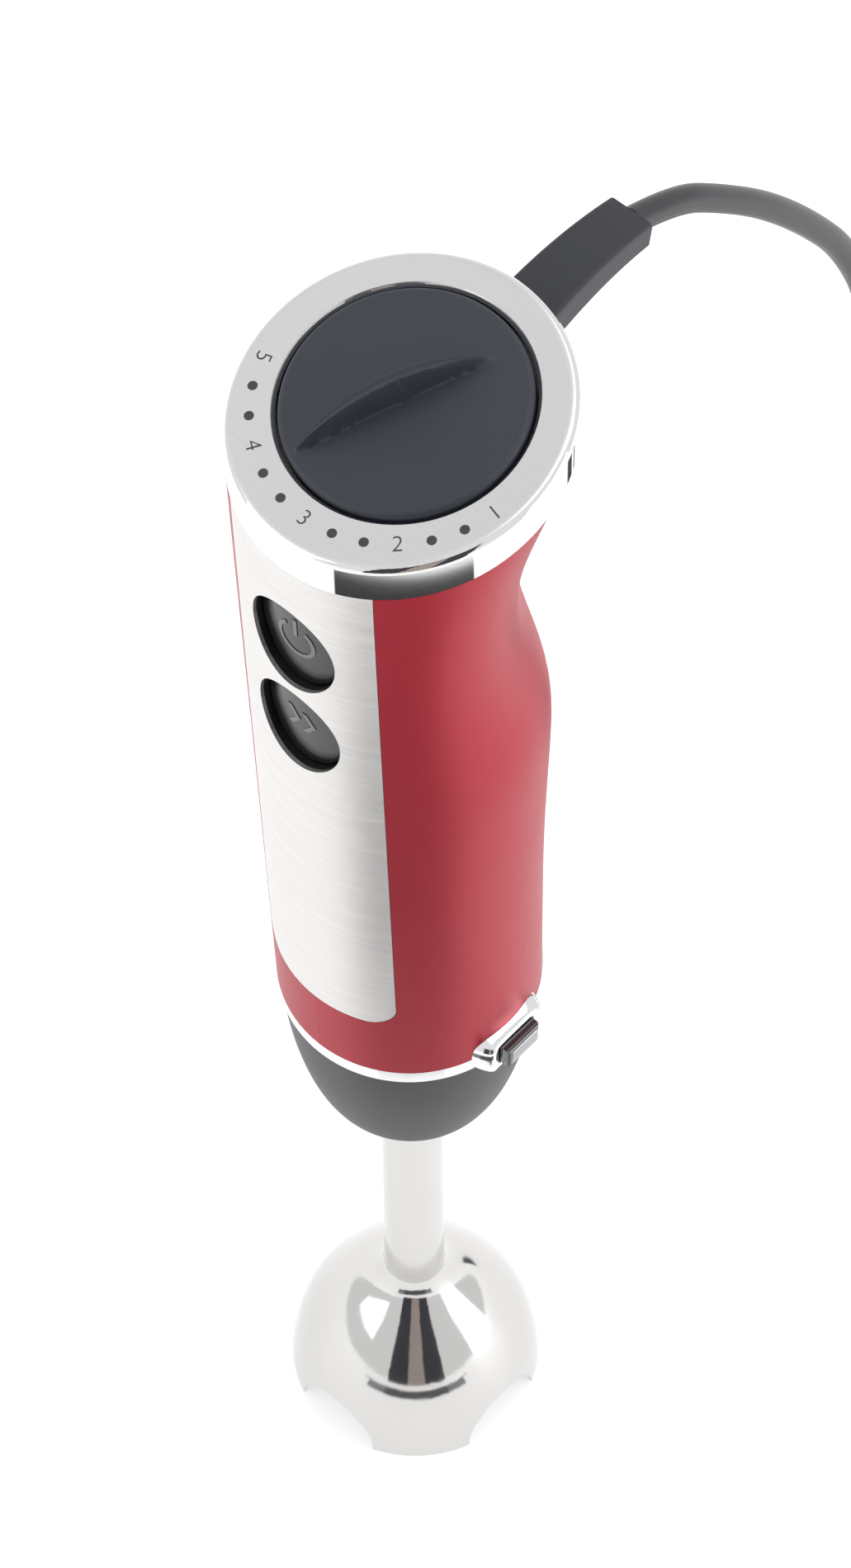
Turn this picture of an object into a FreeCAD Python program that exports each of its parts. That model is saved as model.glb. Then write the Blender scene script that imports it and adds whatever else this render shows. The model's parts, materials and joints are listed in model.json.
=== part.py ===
# Corded immersion blender: motor handle with a speed dial, two push buttons and a lift-off mixing leg.
# Millimetres, +Z up. The origin is on the drive axis, on the surface that the blade guard stands on.
# The front (steel plate and buttons) faces -Y, the mains cord leaves the top towards +Y.
import FreeCAD, Part
import Sketcher
import math
import os
import re
from FreeCAD import Placement, Rotation, Vector

doc = FreeCAD.newDocument("ImmersionBlender")
sheet = doc.addObject("Spreadsheet::Sheet", "dims")
pieces = {}

SIZES = [
    # general clearances
    ("running_fit", 0.03, "radial clearance of a shaft in its bush"),
    ("seat_fit", 0.03, "radial clearance of pieces seated in each other"),
    ("free_gap", 0.3, "gap between pieces that move past each other"),
    ("face_gap", 0.1, "gap between stacked pieces"),
    # blade guard
    ("guard_rim_r", 31.8, "outer radius of the guard at its rim"),
    ("guard_shoulder_r", 27.6, "outer radius at the shoulder of the dome"),
    ("guard_shoulder_z", 18.6, "height of the shoulder"),
    ("guard_top_z", 48.0, "height of the seam between guard and tube"),
    ("guard_wall", 0.9, "sheet thickness of the guard"),
    ("arch_r", 12.0, "radius of the four arches in the rim"),
    # mixing leg
    ("tube_r", 7.5, "outer radius of the steel tube"),
    ("tube_wall", 0.8, "wall of the tube"),
    ("drive_r", 2.5, "radius of the drive shaft and the motor shaft"),
    ("seal_h", 4.0, "height of the lip seal"),
    ("bush_h", 13.0, "height of each bush"),
    ("bush_r", 5.0, "outer radius of the lower bush and the seal"),
    ("bush_drop", 26.0, "how far the upper bush starts under the joint"),
    ("seal_drop", 6.0, "how far the seal starts under the seam of guard and tube"),
    ("blade_span_r", 23.0, "radius that the blade tips sweep"),
    ("blade_z", 13.0, "height of the blade's centre plate"),
    ("blade_t", 1.2, "blade thickness"),
    ("blade_half_w", 5.2, "half the width of the blade"),
    ("nut_h", 3.2, "height of the nut under the blade"),
    ("hub_r", 4.4, "radius of the blade hub"),
    # coupling cup
    ("joint_z", 187.0, "height of the joint between leg and handle"),
    ("cup_rim_r", 29.2, "outer radius of the cup at the joint"),
    ("cup_h", 46.5, "height of the cup"),
    ("cup_wall", 2.4, "wall of the cup"),
    ("spigot_r", 25.2, "outer radius of the cup's spigot"),
    ("spigot_h", 10.0, "height of the spigot above the joint"),
    ("boss_h", 38.0, "length of the cup's boss around the tube"),
    # drive coupling
    ("dog_r", 4.6, "tip radius of the driving star"),
    ("dog_root_r", 3.5, "root radius of the driving star"),
    ("socket_r", 8.0, "outer radius of the driven socket"),
    ("socket_h", 15.0, "height of the driven socket"),
    # handle body
    ("collar_h", 3.9, "height of the trim ring at the joint"),
    ("body_foot_r", 29.9, "radius of the handle just above the trim ring"),
    ("body_head_r", 34.0, "radius of the handle under the dial ring"),
    ("neck_depth", 11.2, "how far the back is drawn in at the neck"),
    ("neck_drop", 48.0, "how far the neck lies under the dial face"),
    ("belly_drop", 102.0, "how far under the dial face the back starts to draw in"),
    ("back_flat", 2.0, "how far the back is flattened below the neck"),
    ("shell_wall", 2.2, "wall of the housing shells"),
    # head and dial
    ("handle_h", 203.0, "height of the dial face's centre above the joint"),
    ("head_y", 1.2, "distance of the dial centre behind the drive axis"),
    ("head_tilt", 13.0, "tilt of the dial face towards the front, degrees"),
    ("ring_h", 9.0, "height of the dial ring"),
    ("dial_r", 25.2, "radius of the opening for the knob"),
    ("knob_gap", 0.5, "gap round the knob"),
    ("knob_h", 5.0, "height of the knob disc"),
    ("fin_h", 8.0, "height of the finger ridge above the disc"),
    ("ridge_angle", 64.7, "direction of the ridge on the dial face, degrees from +X"),
    ("fin_reach", 22.5, "reach of the ridge from the centre"),
    ("carrier_drop", 6.6, "how far the carrier lies under the dial face"),
    ("carrier_t", 3.0, "thickness of the carrier"),
    ("carrier_r", 30.4, "radius of the carrier that holds the dial ring"),
    ("stem_r", 3.0, "radius of the knob's stem"),
    ("pot_r", 8.5, "radius of the speed potentiometer"),
    # front plate
    ("plate_t", 0.9, "thickness of the steel plate"),
    ("plate_half_w", 18.4, "half the width of the plate"),
    ("plate_foot", 25.0, "height of the plate's lower edge above the joint"),
    ("plate_corner_r", 6.5, "radius of the plate's lower corners"),
    # push buttons
    ("power_drop", 43.6, "how far the on/off button lies under the dial face"),
    ("button_pitch", 28.5, "distance between the two buttons"),
    ("frame_half_w", 14.2, "half the width of the frame behind the plate"),
    ("frame_margin", 4.0, "how far the frame reaches past the buttons"),
    ("button_half_w", 10.8, "half the width of a button opening"),
    ("button_half_h", 13.0, "half the height of a button opening"),
    ("button_recess", 1.6, "how far a button lies under the plate's surface"),
    ("button_gap", 0.45, "gap round a button"),
    ("button_travel", 2.0, "travel of a button"),
    ("button_back_y", -24.0, "where a button's back lies"),
    ("switch_face_y", -16.0, "where the switches' faces lie"),
    ("switch_depth", 5.0, "depth of a switch"),
    ("board_t", 1.6, "thickness of the control board"),
    # release buttons
    ("release_half_w", 5.2, "half the width of a release button"),
    ("release_h", 6.4, "height of a release button"),
    ("release_proud", 2.8, "how far a release button stands out of its bezel"),
    ("release_travel", 2.0, "travel of a release button"),
    ("bezel_half_w", 7.2, "half the width of the bezel"),
    ("bezel_h", 10.0, "height of the bezel"),
    ("bezel_proud", 1.7, "how far the bezel stands out of the trim ring"),
    ("post_x", 17.5, "distance of the spring posts from the axis"),
    ("release_spring_rise", 13.6, "height of the release springs above the joint"),
    ("spring_wire_r", 0.3, "wire radius of the return springs"),
    # motor
    ("motor_rise", 18.0, "height of the motor's lower bracket above the joint"),
    ("bracket_r", 22.5, "radius of the motor brackets"),
    ("bracket_h", 6.0, "thickness of the motor brackets"),
    ("bearing_r", 8.0, "outer radius of the ball bearings"),
    ("bearing_h", 5.0, "height of the ball bearings"),
    ("fan_r", 16.0, "radius of the cooling fan"),
    ("fan_h", 6.5, "height of the cooling fan"),
    ("core_rise", 21.0, "height of the laminated core above the lower bracket"),
    ("deck_rise", 19.0, "height of the upper bracket above the core"),
    ("core_h", 30.0, "height of the laminated core"),
    ("stator_r", 21.5, "outer radius of the stator"),
    ("rotor_r", 13.5, "radius of the armature"),
    ("air_gap", 0.3, "gap between armature and poles"),
    ("commutator_r", 8.0, "radius of the commutator"),
    ("tie_bolt_y", 19.7, "distance of the motor bolts from the axis"),
    ("tie_bolt_r", 1.25, "radius of the motor bolts"),
    # mains cord
    ("cord_r", 3.0, "radius of the mains cord"),
    ("boot_y", 66.0, "where the strain relief ends"),
    ("boot_lift", 21.0, "slope at which the strain relief rises from the handle, degrees"),
    ("boot_root_y", 26.5, "where the strain relief leaves the handle"),
    ("boot_root_drop", 9.0, "how far the strain relief lies under the dial face"),
    ("boot_drop", 9.0, "slope of the cord where it leaves, degrees"),
    ("boot_half_w", 7.0, "half the width of the strain relief at the handle"),
    ("boot_half_h", 3.9, "half the height of the strain relief at the handle"),
    ("boot_taper", 1.5, "how much the strain relief's half width narrows towards the cord"),
    ("plug_half_w", 17.5, "half the width of the plug"),
    ("plug_half_t", 7.0, "half the thickness of the plug"),
    ("plug_l", 34.0, "length of the plug's body"),
    ("pin_r", 2.0, "radius of the plug's pins"),
    ("pin_l", 19.0, "length of the plug's pins"),
    ("pin_pitch", 18.6, "distance between the pins"),
    ("coil_x", 0.0, "centre of the coiled cord"),
    ("coil_y", 256.0, "centre of the coiled cord"),
    ("coil_r", 37.5, "outer radius of the coiled cord"),
    ("coil_in_r", 24.5, "inner radius of the coiled cord"),
    ("coil_h", 12.0, "height of the coiled cord"),
    ("plug_x", 26.0, "place of the plug beside the coil's centre"),
    ("plug_y", 8.0, "where the plug's body starts behind the coil's centre"),
]
for row, (alias, value, note) in enumerate(SIZES, start=1):
    sheet.set(f"A{row}", alias)
    sheet.set(f"B{row}", str(value))
    sheet.setAlias(f"B{row}", alias)
    sheet.set(f"C{row}", note)
doc.recompute()

# heights above the table that follow from the sizes
LEVELS = [
    ("head_z", "=dims.joint_z + dims.handle_h", "dial face at its centre"),
    ("neck_z", "=head_z - dims.neck_drop", "neck"),
    ("belly_z", "=head_z - dims.belly_drop", "where the back starts to draw in"),
    ("plate_foot_z", "=dims.joint_z + dims.plate_foot", "lower edge of the plate"),
    ("power_z", "=head_z - dims.power_drop", "on/off button"),
    ("turbo_z", "=power_z - dims.button_pitch", "turbo button"),
    ("motor_z", "=dims.joint_z + dims.motor_rise", "motor's lower bracket"),
    ("core_z", "=motor_z + dims.core_rise", "underside of the laminated core"),
    ("deck_z", "=core_z + dims.core_h + dims.deck_rise", "motor's upper bracket"),
    ("release_spring_z", "=dims.joint_z + dims.release_spring_rise", "release springs"),
    ("boot_root_z", "=head_z - dims.boot_root_drop", "root of the strain relief"),
]
levels = doc.addObject("Spreadsheet::Sheet", "levels")
for row, (alias, formula, note) in enumerate(LEVELS, start=1):
    levels.set(f"A{row}", alias)
    levels.set(f"B{row}", formula)
    levels.setAlias(f"B{row}", alias)
    levels.set(f"C{row}", note)
    doc.recompute()
LEVEL_NAMES = {alias for alias, formula, note in LEVELS}


# ---------------------------------------------------------------- helpers
def bound(text):
    """An expression in which every name is a cell of one of the two sheets."""
    return re.sub(r"[A-Za-z_]\w*",
                  lambda name: ("levels." if name.group(0) in LEVEL_NAMES else "dims.") + name.group(0), str(text))


def bind(feature, **sizes):
    """Tie properties to expressions; base_x, base_y and base_z are the placement."""
    for name, text in sizes.items():
        path = "Placement.Base." + name[-1] if name.startswith("base_") else name
        feature.setExpression(path, bound(text))
    return feature


def turned_about(feature, rotation):
    """Turn a primitive before its base is bound."""
    feature.Placement = Placement(Vector(), rotation)
    return feature


UPRIGHT = Rotation()
ALONG_X = Rotation(Vector(0, 1, 0), 90)
ALONG_Y = Rotation(Vector(1, 0, 0), -90)


def box(length, width, height, x=0, y=0, z=0):
    """A block centred on x and y, standing on z."""
    block = doc.addObject("Part::Box", "block")
    return bind(block, Length=length, Width=width, Height=height,
                base_x=f"{x} - ({length}) / 2", base_y=f"{y} - ({width}) / 2", base_z=z)


def rod(radius, height, x=0, y=0, z=0, turn=UPRIGHT):
    """A cylinder that starts at x, y, z."""
    bar = turned_about(doc.addObject("Part::Cylinder", "rod"), turn)
    return bind(bar, Radius=radius, Height=height, base_x=x, base_y=y, base_z=z)


def fused(*shapes):
    if len(shapes) == 1:
        return shapes[0]
    union = doc.addObject("Part::MultiFuse", "union")
    union.Shapes = list(shapes)
    return union


def cut(base, *tools):
    result = doc.addObject("Part::Cut", "cut")
    result.Base = base
    result.Tool = fused(*tools)
    return result


def common(*shapes):
    shared = doc.addObject("Part::MultiCommon", "shared")
    shared.Shapes = list(shapes)
    return shared


def ring(outer, inner, height, z, x=0, y=0):
    return cut(rod(outer, height, x, y, z), rod(inner, f"{height} + 2", x, y, f"{z} - 1"))


def solid_of(shape, name="shaped"):
    """A Part::Feature that holds a shape worked out here."""
    feature = doc.addObject("Part::Feature", name)
    feature.Shape = shape
    return feature


def polar(source, count, start=0.0):
    """Copies of a feature's shape round the Z axis, as one compound."""
    doc.recompute()
    turns = [start + 360.0 * k / count for k in range(count)]
    copies = [source.Shape.copy() for _ in turns]
    for copy, angle in zip(copies, turns):
        copy.rotate(Vector(), Vector(0, 0, 1), angle)
    return solid_of(Part.makeCompound(copies), "copies")


def piece(label, feature):
    """Name a sub-part; its label is its file's name."""
    feature.Label = label
    pieces[label] = feature
    return feature


def revolved(label, outline):
    """A PartDesign body turned about Z from an outline of (radius, height) expressions."""
    body = doc.addObject("PartDesign::Body", label)
    sketch = body.newObject("Sketcher::SketchObject", label + "_outline")
    plane = [f for f in body.Origin.OriginFeatures if f.Role == "XZ_Plane"][0]
    sketch.AttachmentSupport = [(plane, "")]
    sketch.MapMode = "FlatFace"
    count = len(outline)
    for k in range(count):
        start, end = Vector(k + 1, k * k, 0), Vector(k + 2, (k + 1) * (k + 1), 0)
        sketch.addGeometry(Part.LineSegment(start, end if k < count - 1 else Vector(1, 0, 0)), False)
    for k in range(count):
        sketch.addConstraint(Sketcher.Constraint("Coincident", k, 2, (k + 1) % count, 1))
    for k, (radius, height) in enumerate(outline):
        if radius == 0:
            sketch.addConstraint(Sketcher.Constraint("PointOnObject", k, 1, -2))
        else:
            index = sketch.addConstraint(Sketcher.Constraint("DistanceX", -1, 1, k, 1, float(k + 1)))
            sketch.setExpression(f"Constraints[{index}]", bound(radius))
        index = sketch.addConstraint(Sketcher.Constraint("DistanceY", -1, 1, k, 1, float(k * k + 1)))
        sketch.setExpression(f"Constraints[{index}]", bound(height))
    turn = body.newObject("PartDesign::Revolution", label + "_turn")
    turn.Profile = sketch
    turn.ReferenceAxis = (sketch, ["V_Axis"])
    turn.Angle = 360.0
    body.Tip = turn
    sketch.Visibility = False
    return body


def turned_ring(label, outer, inner, height, z):
    """A PartDesign ring about Z: four corners turned about the axis."""
    top = f"({z}) + ({height})"
    return revolved(label, [(inner, z), (outer, z), (outer, top), (inner, top)])


def arc_through(*points):
    return Part.Arc(*points).toShape()


def line(start, end):
    return Part.LineSegment(start, end).toShape()


def coil_spring(label, radius, wire_r, length, turns, start, rotation):
    """A compression spring that starts at a point and runs along the turned Z axis."""
    rise = (length - 2 * wire_r) / turns / 12
    step = math.radians(30)
    knots = [Vector(radius * math.cos(step * k), radius * math.sin(step * k), wire_r + rise * k)
             for k in range(12 * turns + 1)]
    path = Part.BSplineCurve()
    path.interpolate(knots)
    circle = Part.Wire(Part.makeCircle(wire_r, Vector(radius, 0, wire_r), Vector(0, 1, 0)))
    wire = Part.Wire([path.toShape()]).makePipeShell([circle], True, True)
    spring = solid_of(wire, label)
    spring.Placement = Placement(start, rotation)
    return piece(label, spring)


# ---------------------------------------------------------------- handle surface
def front_radius(z):
    """The handle's front is a slightly conical sheet round the drive axis."""
    share = (z - sheet.joint_z) / (levels.head_z - 15 - sheet.joint_z)
    return sheet.body_foot_r + (sheet.body_head_r - sheet.body_foot_r) * min(share, 1.0)


def eased(value, start, end):
    """0 before start, 1 after end, with a smooth change between them."""
    share = min(1.0, max(0.0, (value - start) / (end - start)))
    return share * share * (3 - 2 * share)


def drawn_in(z):
    """How far the back lies inside the front's radius: a hand hollow under the dial ring."""
    flat = sheet.back_flat * eased(z, sheet.joint_z - 20, levels.belly_z - 30)
    hollow = (sheet.neck_depth - sheet.back_flat) * eased(z, levels.belly_z, levels.neck_z)
    return (flat + hollow) * (1 - eased(z, levels.neck_z + 4, levels.head_z + 2))


def section_wire(z, inset):
    """One closed outline of the handle, inset towards the axis."""
    points = []
    for k in range(24):
        angle = 360.0 * k / 24
        share = eased(abs(180.0 - angle), 42.0, 138.0)
        radius = front_radius(z) - drawn_in(z) * share - inset
        x = radius * math.sin(math.radians(angle))
        y = radius * math.cos(math.radians(angle))
        points.append(Vector(x, y, z))
    curve = Part.BSplineCurve()
    curve.interpolate(points, PeriodicFlag=True)
    return Part.Wire([curve.toShape()])


def handle_solid(inset, low=None, high=None):
    """The handle's outer form, inset, from its foot to above the dial ring."""
    low = body_foot_z if low is None else low
    high = levels.head_z + 12 if high is None else high
    count = round((high - low) / 12)
    heights = [low + (high - low) * k / count for k in range(count + 1)]
    return Part.makeLoft([section_wire(z, inset) for z in heights], True, False)


body_foot_z = sheet.joint_z + sheet.collar_h + sheet.face_gap
tilt = Rotation(Vector(1, 0, 0), sheet.head_tilt)
head_place = Placement(Vector(0, sheet.head_y, levels.head_z), tilt)
head_normal = tilt.multVec(Vector(0, 0, 1))


def tilted(feature):
    """Put a piece that was made about Z into the tilted dial head."""
    feature.Placement = head_place
    return feature


def below_head(depth):
    """Everything under a plane parallel to the dial face."""
    block = Part.makeBox(200, 200, 600, Vector(-100, -100, -600 - depth))
    block.Placement = head_place
    return block


def plate_prism(half_w, foot_z, corner_r):
    """The plate's outline seen from the front, with two round lower corners."""
    top = levels.head_z + 20
    left, right, low = -half_w, half_w, foot_z
    k = corner_r * (1 - math.sqrt(0.5))
    edges = [
        line(Vector(left, 0, top), Vector(left, 0, low + corner_r)),
        arc_through(Vector(left, 0, low + corner_r), Vector(left + k, 0, low + k), Vector(left + corner_r, 0, low)),
        line(Vector(left + corner_r, 0, low), Vector(right - corner_r, 0, low)),
        arc_through(Vector(right - corner_r, 0, low), Vector(right - k, 0, low + k), Vector(right, 0, low + corner_r)),
        line(Vector(right, 0, low + corner_r), Vector(right, 0, top)),
        line(Vector(right, 0, top), Vector(left, 0, top)),
    ]
    return Part.Face(Part.Wire(edges)).extrude(Vector(0, -60, 0))


def oval_prism(z, grow, y_start, y_end):
    """An elliptical prism along Y at the height of a button."""
    half_w, half_h = sheet.button_half_w + grow, sheet.button_half_h + grow
    oval = Part.Ellipse(Vector(0, 0, 0), half_h, half_w).toShape()
    face = Part.Face(Part.Wire([oval]))
    face.rotate(Vector(), Vector(0, 0, 1), 90)
    face.rotate(Vector(), Vector(1, 0, 0), 90)
    face.translate(Vector(0, y_start, z))
    return face.extrude(Vector(0, y_end - y_start, 0))


# ---------------------------------------------------------------- mixing leg
def guard_curve():
    """The guard's outer outline from the seam at the tube down to the rim, in the XZ plane."""
    top, shoulder_r, shoulder_z = sheet.guard_top_z, sheet.guard_shoulder_r, sheet.guard_shoulder_z
    points = [
        Vector(sheet.tube_r, 0, top),
        Vector(sheet.tube_r + 3.2, 0, top - 6.6),
        Vector(shoulder_r - 11.6, 0, shoulder_z + 17.2),
        Vector(shoulder_r - 4.6, 0, shoulder_z + 8.4),
        Vector(shoulder_r, 0, shoulder_z),
        Vector((shoulder_r + sheet.guard_rim_r) / 2 + 0.9, 0, shoulder_z * 0.45),
        Vector(sheet.guard_rim_r, 0, 0),
    ]
    curve = Part.BSplineCurve()
    curve.interpolate(points)
    return curve


def guard_inner_points(curve, count=9):
    """Points inside the outline by the sheet's thickness."""
    points = []
    for k in range(count):
        at = curve.FirstParameter + (curve.LastParameter - curve.FirstParameter) * (0.16 + 0.84 * k / (count - 1))
        along = curve.tangent(at)[0]
        inward = Vector(along.z, 0, -along.x)
        if inward.x > 0:
            inward = inward * -1
        points.append(curve.value(at) + inward * sheet.guard_wall)
    points[-1].z = 0.0
    return points


def make_blade_guard():
    outer = guard_curve()
    inner_points = guard_inner_points(outer)
    inner = Part.BSplineCurve()
    inner.interpolate(inner_points)
    spigot_r = sheet.tube_r - sheet.tube_wall - sheet.seat_fit
    bore_r = sheet.bush_r + sheet.seat_fit
    top, spigot_top = sheet.guard_top_z, sheet.guard_top_z + 14
    inner_start = inner_points[0]
    corners = [inner_start, Vector(bore_r, 0, inner_start.z), Vector(bore_r, 0, spigot_top),
               Vector(spigot_r, 0, spigot_top), Vector(spigot_r, 0, top), Vector(sheet.tube_r, 0, top)]
    edges = [line(a, b) for a, b in zip(corners, corners[1:])]
    edges += [outer.toShape(), line(Vector(sheet.guard_rim_r, 0, 0), inner_points[-1]), inner.toShape()]
    profile = Part.Face(Part.Wire(Part.__sortEdges__(edges)))
    bell = solid_of(profile.revolve(Vector(), Vector(0, 0, 1), 360), "bell")
    span = "2 * guard_rim_r + 10"
    arches = [rod("arch_r", span, 0, "0 - guard_rim_r - 5", 0, ALONG_Y),
              rod("arch_r", span, "0 - guard_rim_r - 5", 0, 0, ALONG_X)]
    piece("blade_guard", cut(bell, *arches))


def make_leg():
    make_blade_guard()
    seal_z, bush_z = "guard_top_z - seal_drop", "joint_z - bush_drop"
    turned = {
        "shaft_tube": ("tube_r", "tube_r - tube_wall", "joint_z - 9 - guard_top_z", "guard_top_z"),
        "lip_seal": ("bush_r", "drive_r + running_fit", "seal_h", seal_z),
        "lower_bush": ("bush_r", "drive_r + running_fit", "bush_h", f"{seal_z} + seal_h + face_gap"),
        "upper_bush": ("tube_r - tube_wall - seat_fit", "drive_r + running_fit", "bush_h", bush_z),
        "thrust_washer": ("tube_r - tube_wall - free_gap", "drive_r + seat_fit", 1, f"{bush_z} + bush_h + face_gap"),
    }
    for label, (outer, inner, height, z) in turned.items():
        piece(label, turned_ring(label, outer, inner, height, z))
    piece("drive_shaft", rod("drive_r", "joint_z - 4 - blade_z + 6", 0, 0, "blade_z - 6"))
    make_cup()
    make_socket()
    make_blade()


def make_cup():
    """A bowl whose boss holds the tube, with a spigot that enters the handle."""
    foot = sheet.joint_z - sheet.cup_h
    rim_r, wall, top = sheet.cup_rim_r, sheet.cup_wall, sheet.joint_z - sheet.free_gap
    bowl = [Vector(rim_r, 0, top), Vector(rim_r - 1.1, 0, top - 13.5), Vector(rim_r - 3.5, 0, top - 28),
            Vector(rim_r - 6.9, 0, top - 39.5), Vector(rim_r - 10.2, 0, top - 44.8), Vector(rim_r - 14.2, 0, foot)]
    outer = Part.BSplineCurve()
    outer.interpolate(bowl)
    bore_r, boss_r = sheet.tube_r + sheet.seat_fit, sheet.tube_r + sheet.seat_fit + wall
    boss_top = foot + sheet.boss_h
    inside = [Vector(rim_r - wall, 0, top - 4), Vector(rim_r - 1.1 - wall, 0, top - 13.5),
              Vector(rim_r - 3.7 - wall, 0, top - 27.5), Vector(rim_r - 7.6 - wall, 0, top - 38),
              Vector(rim_r - 11.8 - wall, 0, foot + wall + 0.3)]
    inner = Part.BSplineCurve()
    inner.interpolate(inside)
    spigot_top = sheet.joint_z + sheet.spigot_h
    corners = [inside[-1], Vector(boss_r, 0, foot + wall), Vector(boss_r, 0, boss_top),
               Vector(bore_r, 0, boss_top), Vector(bore_r, 0, foot), bowl[-1]]
    edges = [line(a, b) for a, b in zip(corners, corners[1:])]
    neck = [bowl[0], Vector(sheet.spigot_r, 0, top), Vector(sheet.spigot_r, 0, spigot_top),
            Vector(sheet.spigot_r - wall, 0, spigot_top), Vector(sheet.spigot_r - wall, 0, top - 2), inside[0]]
    edges += [line(a, b) for a, b in zip(neck, neck[1:])]
    profile = Part.Face(Part.Wire(Part.__sortEdges__(edges + [outer.toShape(), inner.toShape()])))
    bowl_solid = solid_of(profile.revolve(Vector(), Vector(0, 0, 1), 360), "bowl")
    slot_w = "2 * release_half_w + 2 * free_gap"
    slot = box("3 * spigot_r", slot_w, "spigot_h + 2", 0, 0, "joint_z + free_gap")
    piece("coupling_cup", cut(bowl_solid, slot))


def star_prism(tip_r, root_r, base, height):
    """A six-lobed star with straight flanks, standing on base."""
    corners = []
    for k in range(12):
        radius = tip_r if k % 2 == 0 else root_r
        angle = math.radians(30 * k)
        corners.append(Vector(radius * math.cos(angle), radius * math.sin(angle), base))
    face = Part.Face(Part.makePolygon(corners + [corners[0]]))
    return face.extrude(Vector(0, 0, height))


def make_socket():
    base = "joint_z - 6"
    blank = ring("socket_r", "drive_r + seat_fit", "socket_h", base)
    pocket_z = sheet.joint_z - 6 + 3.2
    gap = sheet.free_gap
    pocket = solid_of(star_prism(sheet.dog_r + gap * 1.3, sheet.dog_root_r + gap, pocket_z, sheet.socket_h), "pocket")
    piece("driven_socket", cut(blank, pocket))


def make_blade():
    """A flat centre plate with one arm bent up and one bent down."""
    z, t, reach = sheet.blade_z, sheet.blade_t, sheet.blade_span_r
    half_w = sheet.blade_half_w

    def arm(direction, rise):
        outline = [Vector(0, -half_w, 0), Vector(reach * 0.62, -half_w, 0), Vector(reach, -half_w * 0.25, 0),
                   Vector(reach * 0.97, half_w * 0.3, 0), Vector(reach * 0.55, half_w, 0), Vector(0, half_w, 0)]
        plate = Part.Face(Part.makePolygon(outline + [outline[0]])).extrude(Vector(0, 0, t))
        flat = plate.common(Part.makeBox(8.0, 40, 10, Vector(0, -20, -5)))
        bent = plate.common(Part.makeBox(60, 40, 10, Vector(7.6, -20, -5)))
        bent.rotate(Vector(7.8, 0, t / 2), Vector(0, 1, 0), -rise)
        shape = flat.fuse(bent)
        shape.rotate(Vector(), Vector(0, 0, 1), direction)
        return shape

    blank = arm(0, 14).fuse(arm(180, -12)).removeSplitter()
    blank.translate(Vector(0, 0, z))
    blade = solid_of(blank, "blank")
    bore = rod("drive_r + seat_fit", 20, 0, 0, "blade_z - 10")
    piece("blade", cut(blade, bore))
    hub_z = "blade_z + blade_t + face_gap / 2"
    hub_h = "guard_top_z - seal_drop - free_gap - blade_z - blade_t - face_gap"
    piece("blade_hub", ring("hub_r", "drive_r + seat_fit", hub_h, hub_z))
    nut = doc.addObject("Part::Prism", "nut")
    nut.Polygon = 6
    bind(nut, Circumradius="hub_r", Height="nut_h", base_z="blade_z - face_gap / 2 - nut_h")
    piece("blade_nut", cut(nut, rod("drive_r + seat_fit", 20, 0, 0, "blade_z - 12")))


# ---------------------------------------------------------------- joint collar and release buttons
def make_collar():
    """Chrome trim ring with a sleeve for the cup's spigot and a bezel at each side."""
    sleeve_in, sleeve_out = "spigot_r + free_gap", "spigot_r + free_gap + 1.7"
    band = ring("body_foot_r", sleeve_in, "collar_h", "joint_z")
    sleeve = ring(sleeve_out, sleeve_in, "spigot_h - 1", "joint_z")
    bezels = []
    for side in (-1, 1):
        reach = "body_foot_r + bezel_proud"
        block = box("bezel_proud + 6", "2 * bezel_half_w", "bezel_h",
                    f"{side} * ({reach} - (bezel_proud + 6) / 2)", 0, "joint_z - 1")
        rounded = doc.addObject("Part::Fillet", "rounded")
        doc.recompute()
        rounded.Base = block
        rounded.Edges = [(index + 1, 3.0, 3.0) for index, edge in enumerate(block.Shape.Edges)
                         if abs(edge.tangentAt(edge.FirstParameter).x) > 0.99]
        bezels.append(rounded)
    body = fused(band, sleeve, *bezels)
    window = box("3 * body_foot_r", "2 * release_half_w + 2 * free_gap", "release_h + 2 * free_gap",
                 0, 0, "joint_z + 0.8 - free_gap")
    slot = box("2 * (spigot_r + free_gap + 2.2)", "2 * release_half_w + 2 * free_gap", "spigot_h + 5",
               0, 0, "joint_z + 0.8 - free_gap")
    core = rod(sleeve_in, "spigot_h + 20", 0, 0, "joint_z - 5")
    cup_space = rod("cup_rim_r + free_gap", 10, 0, 0, "joint_z - 10")
    piece("joint_collar", cut(body, window, slot, core, cup_space))


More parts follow.
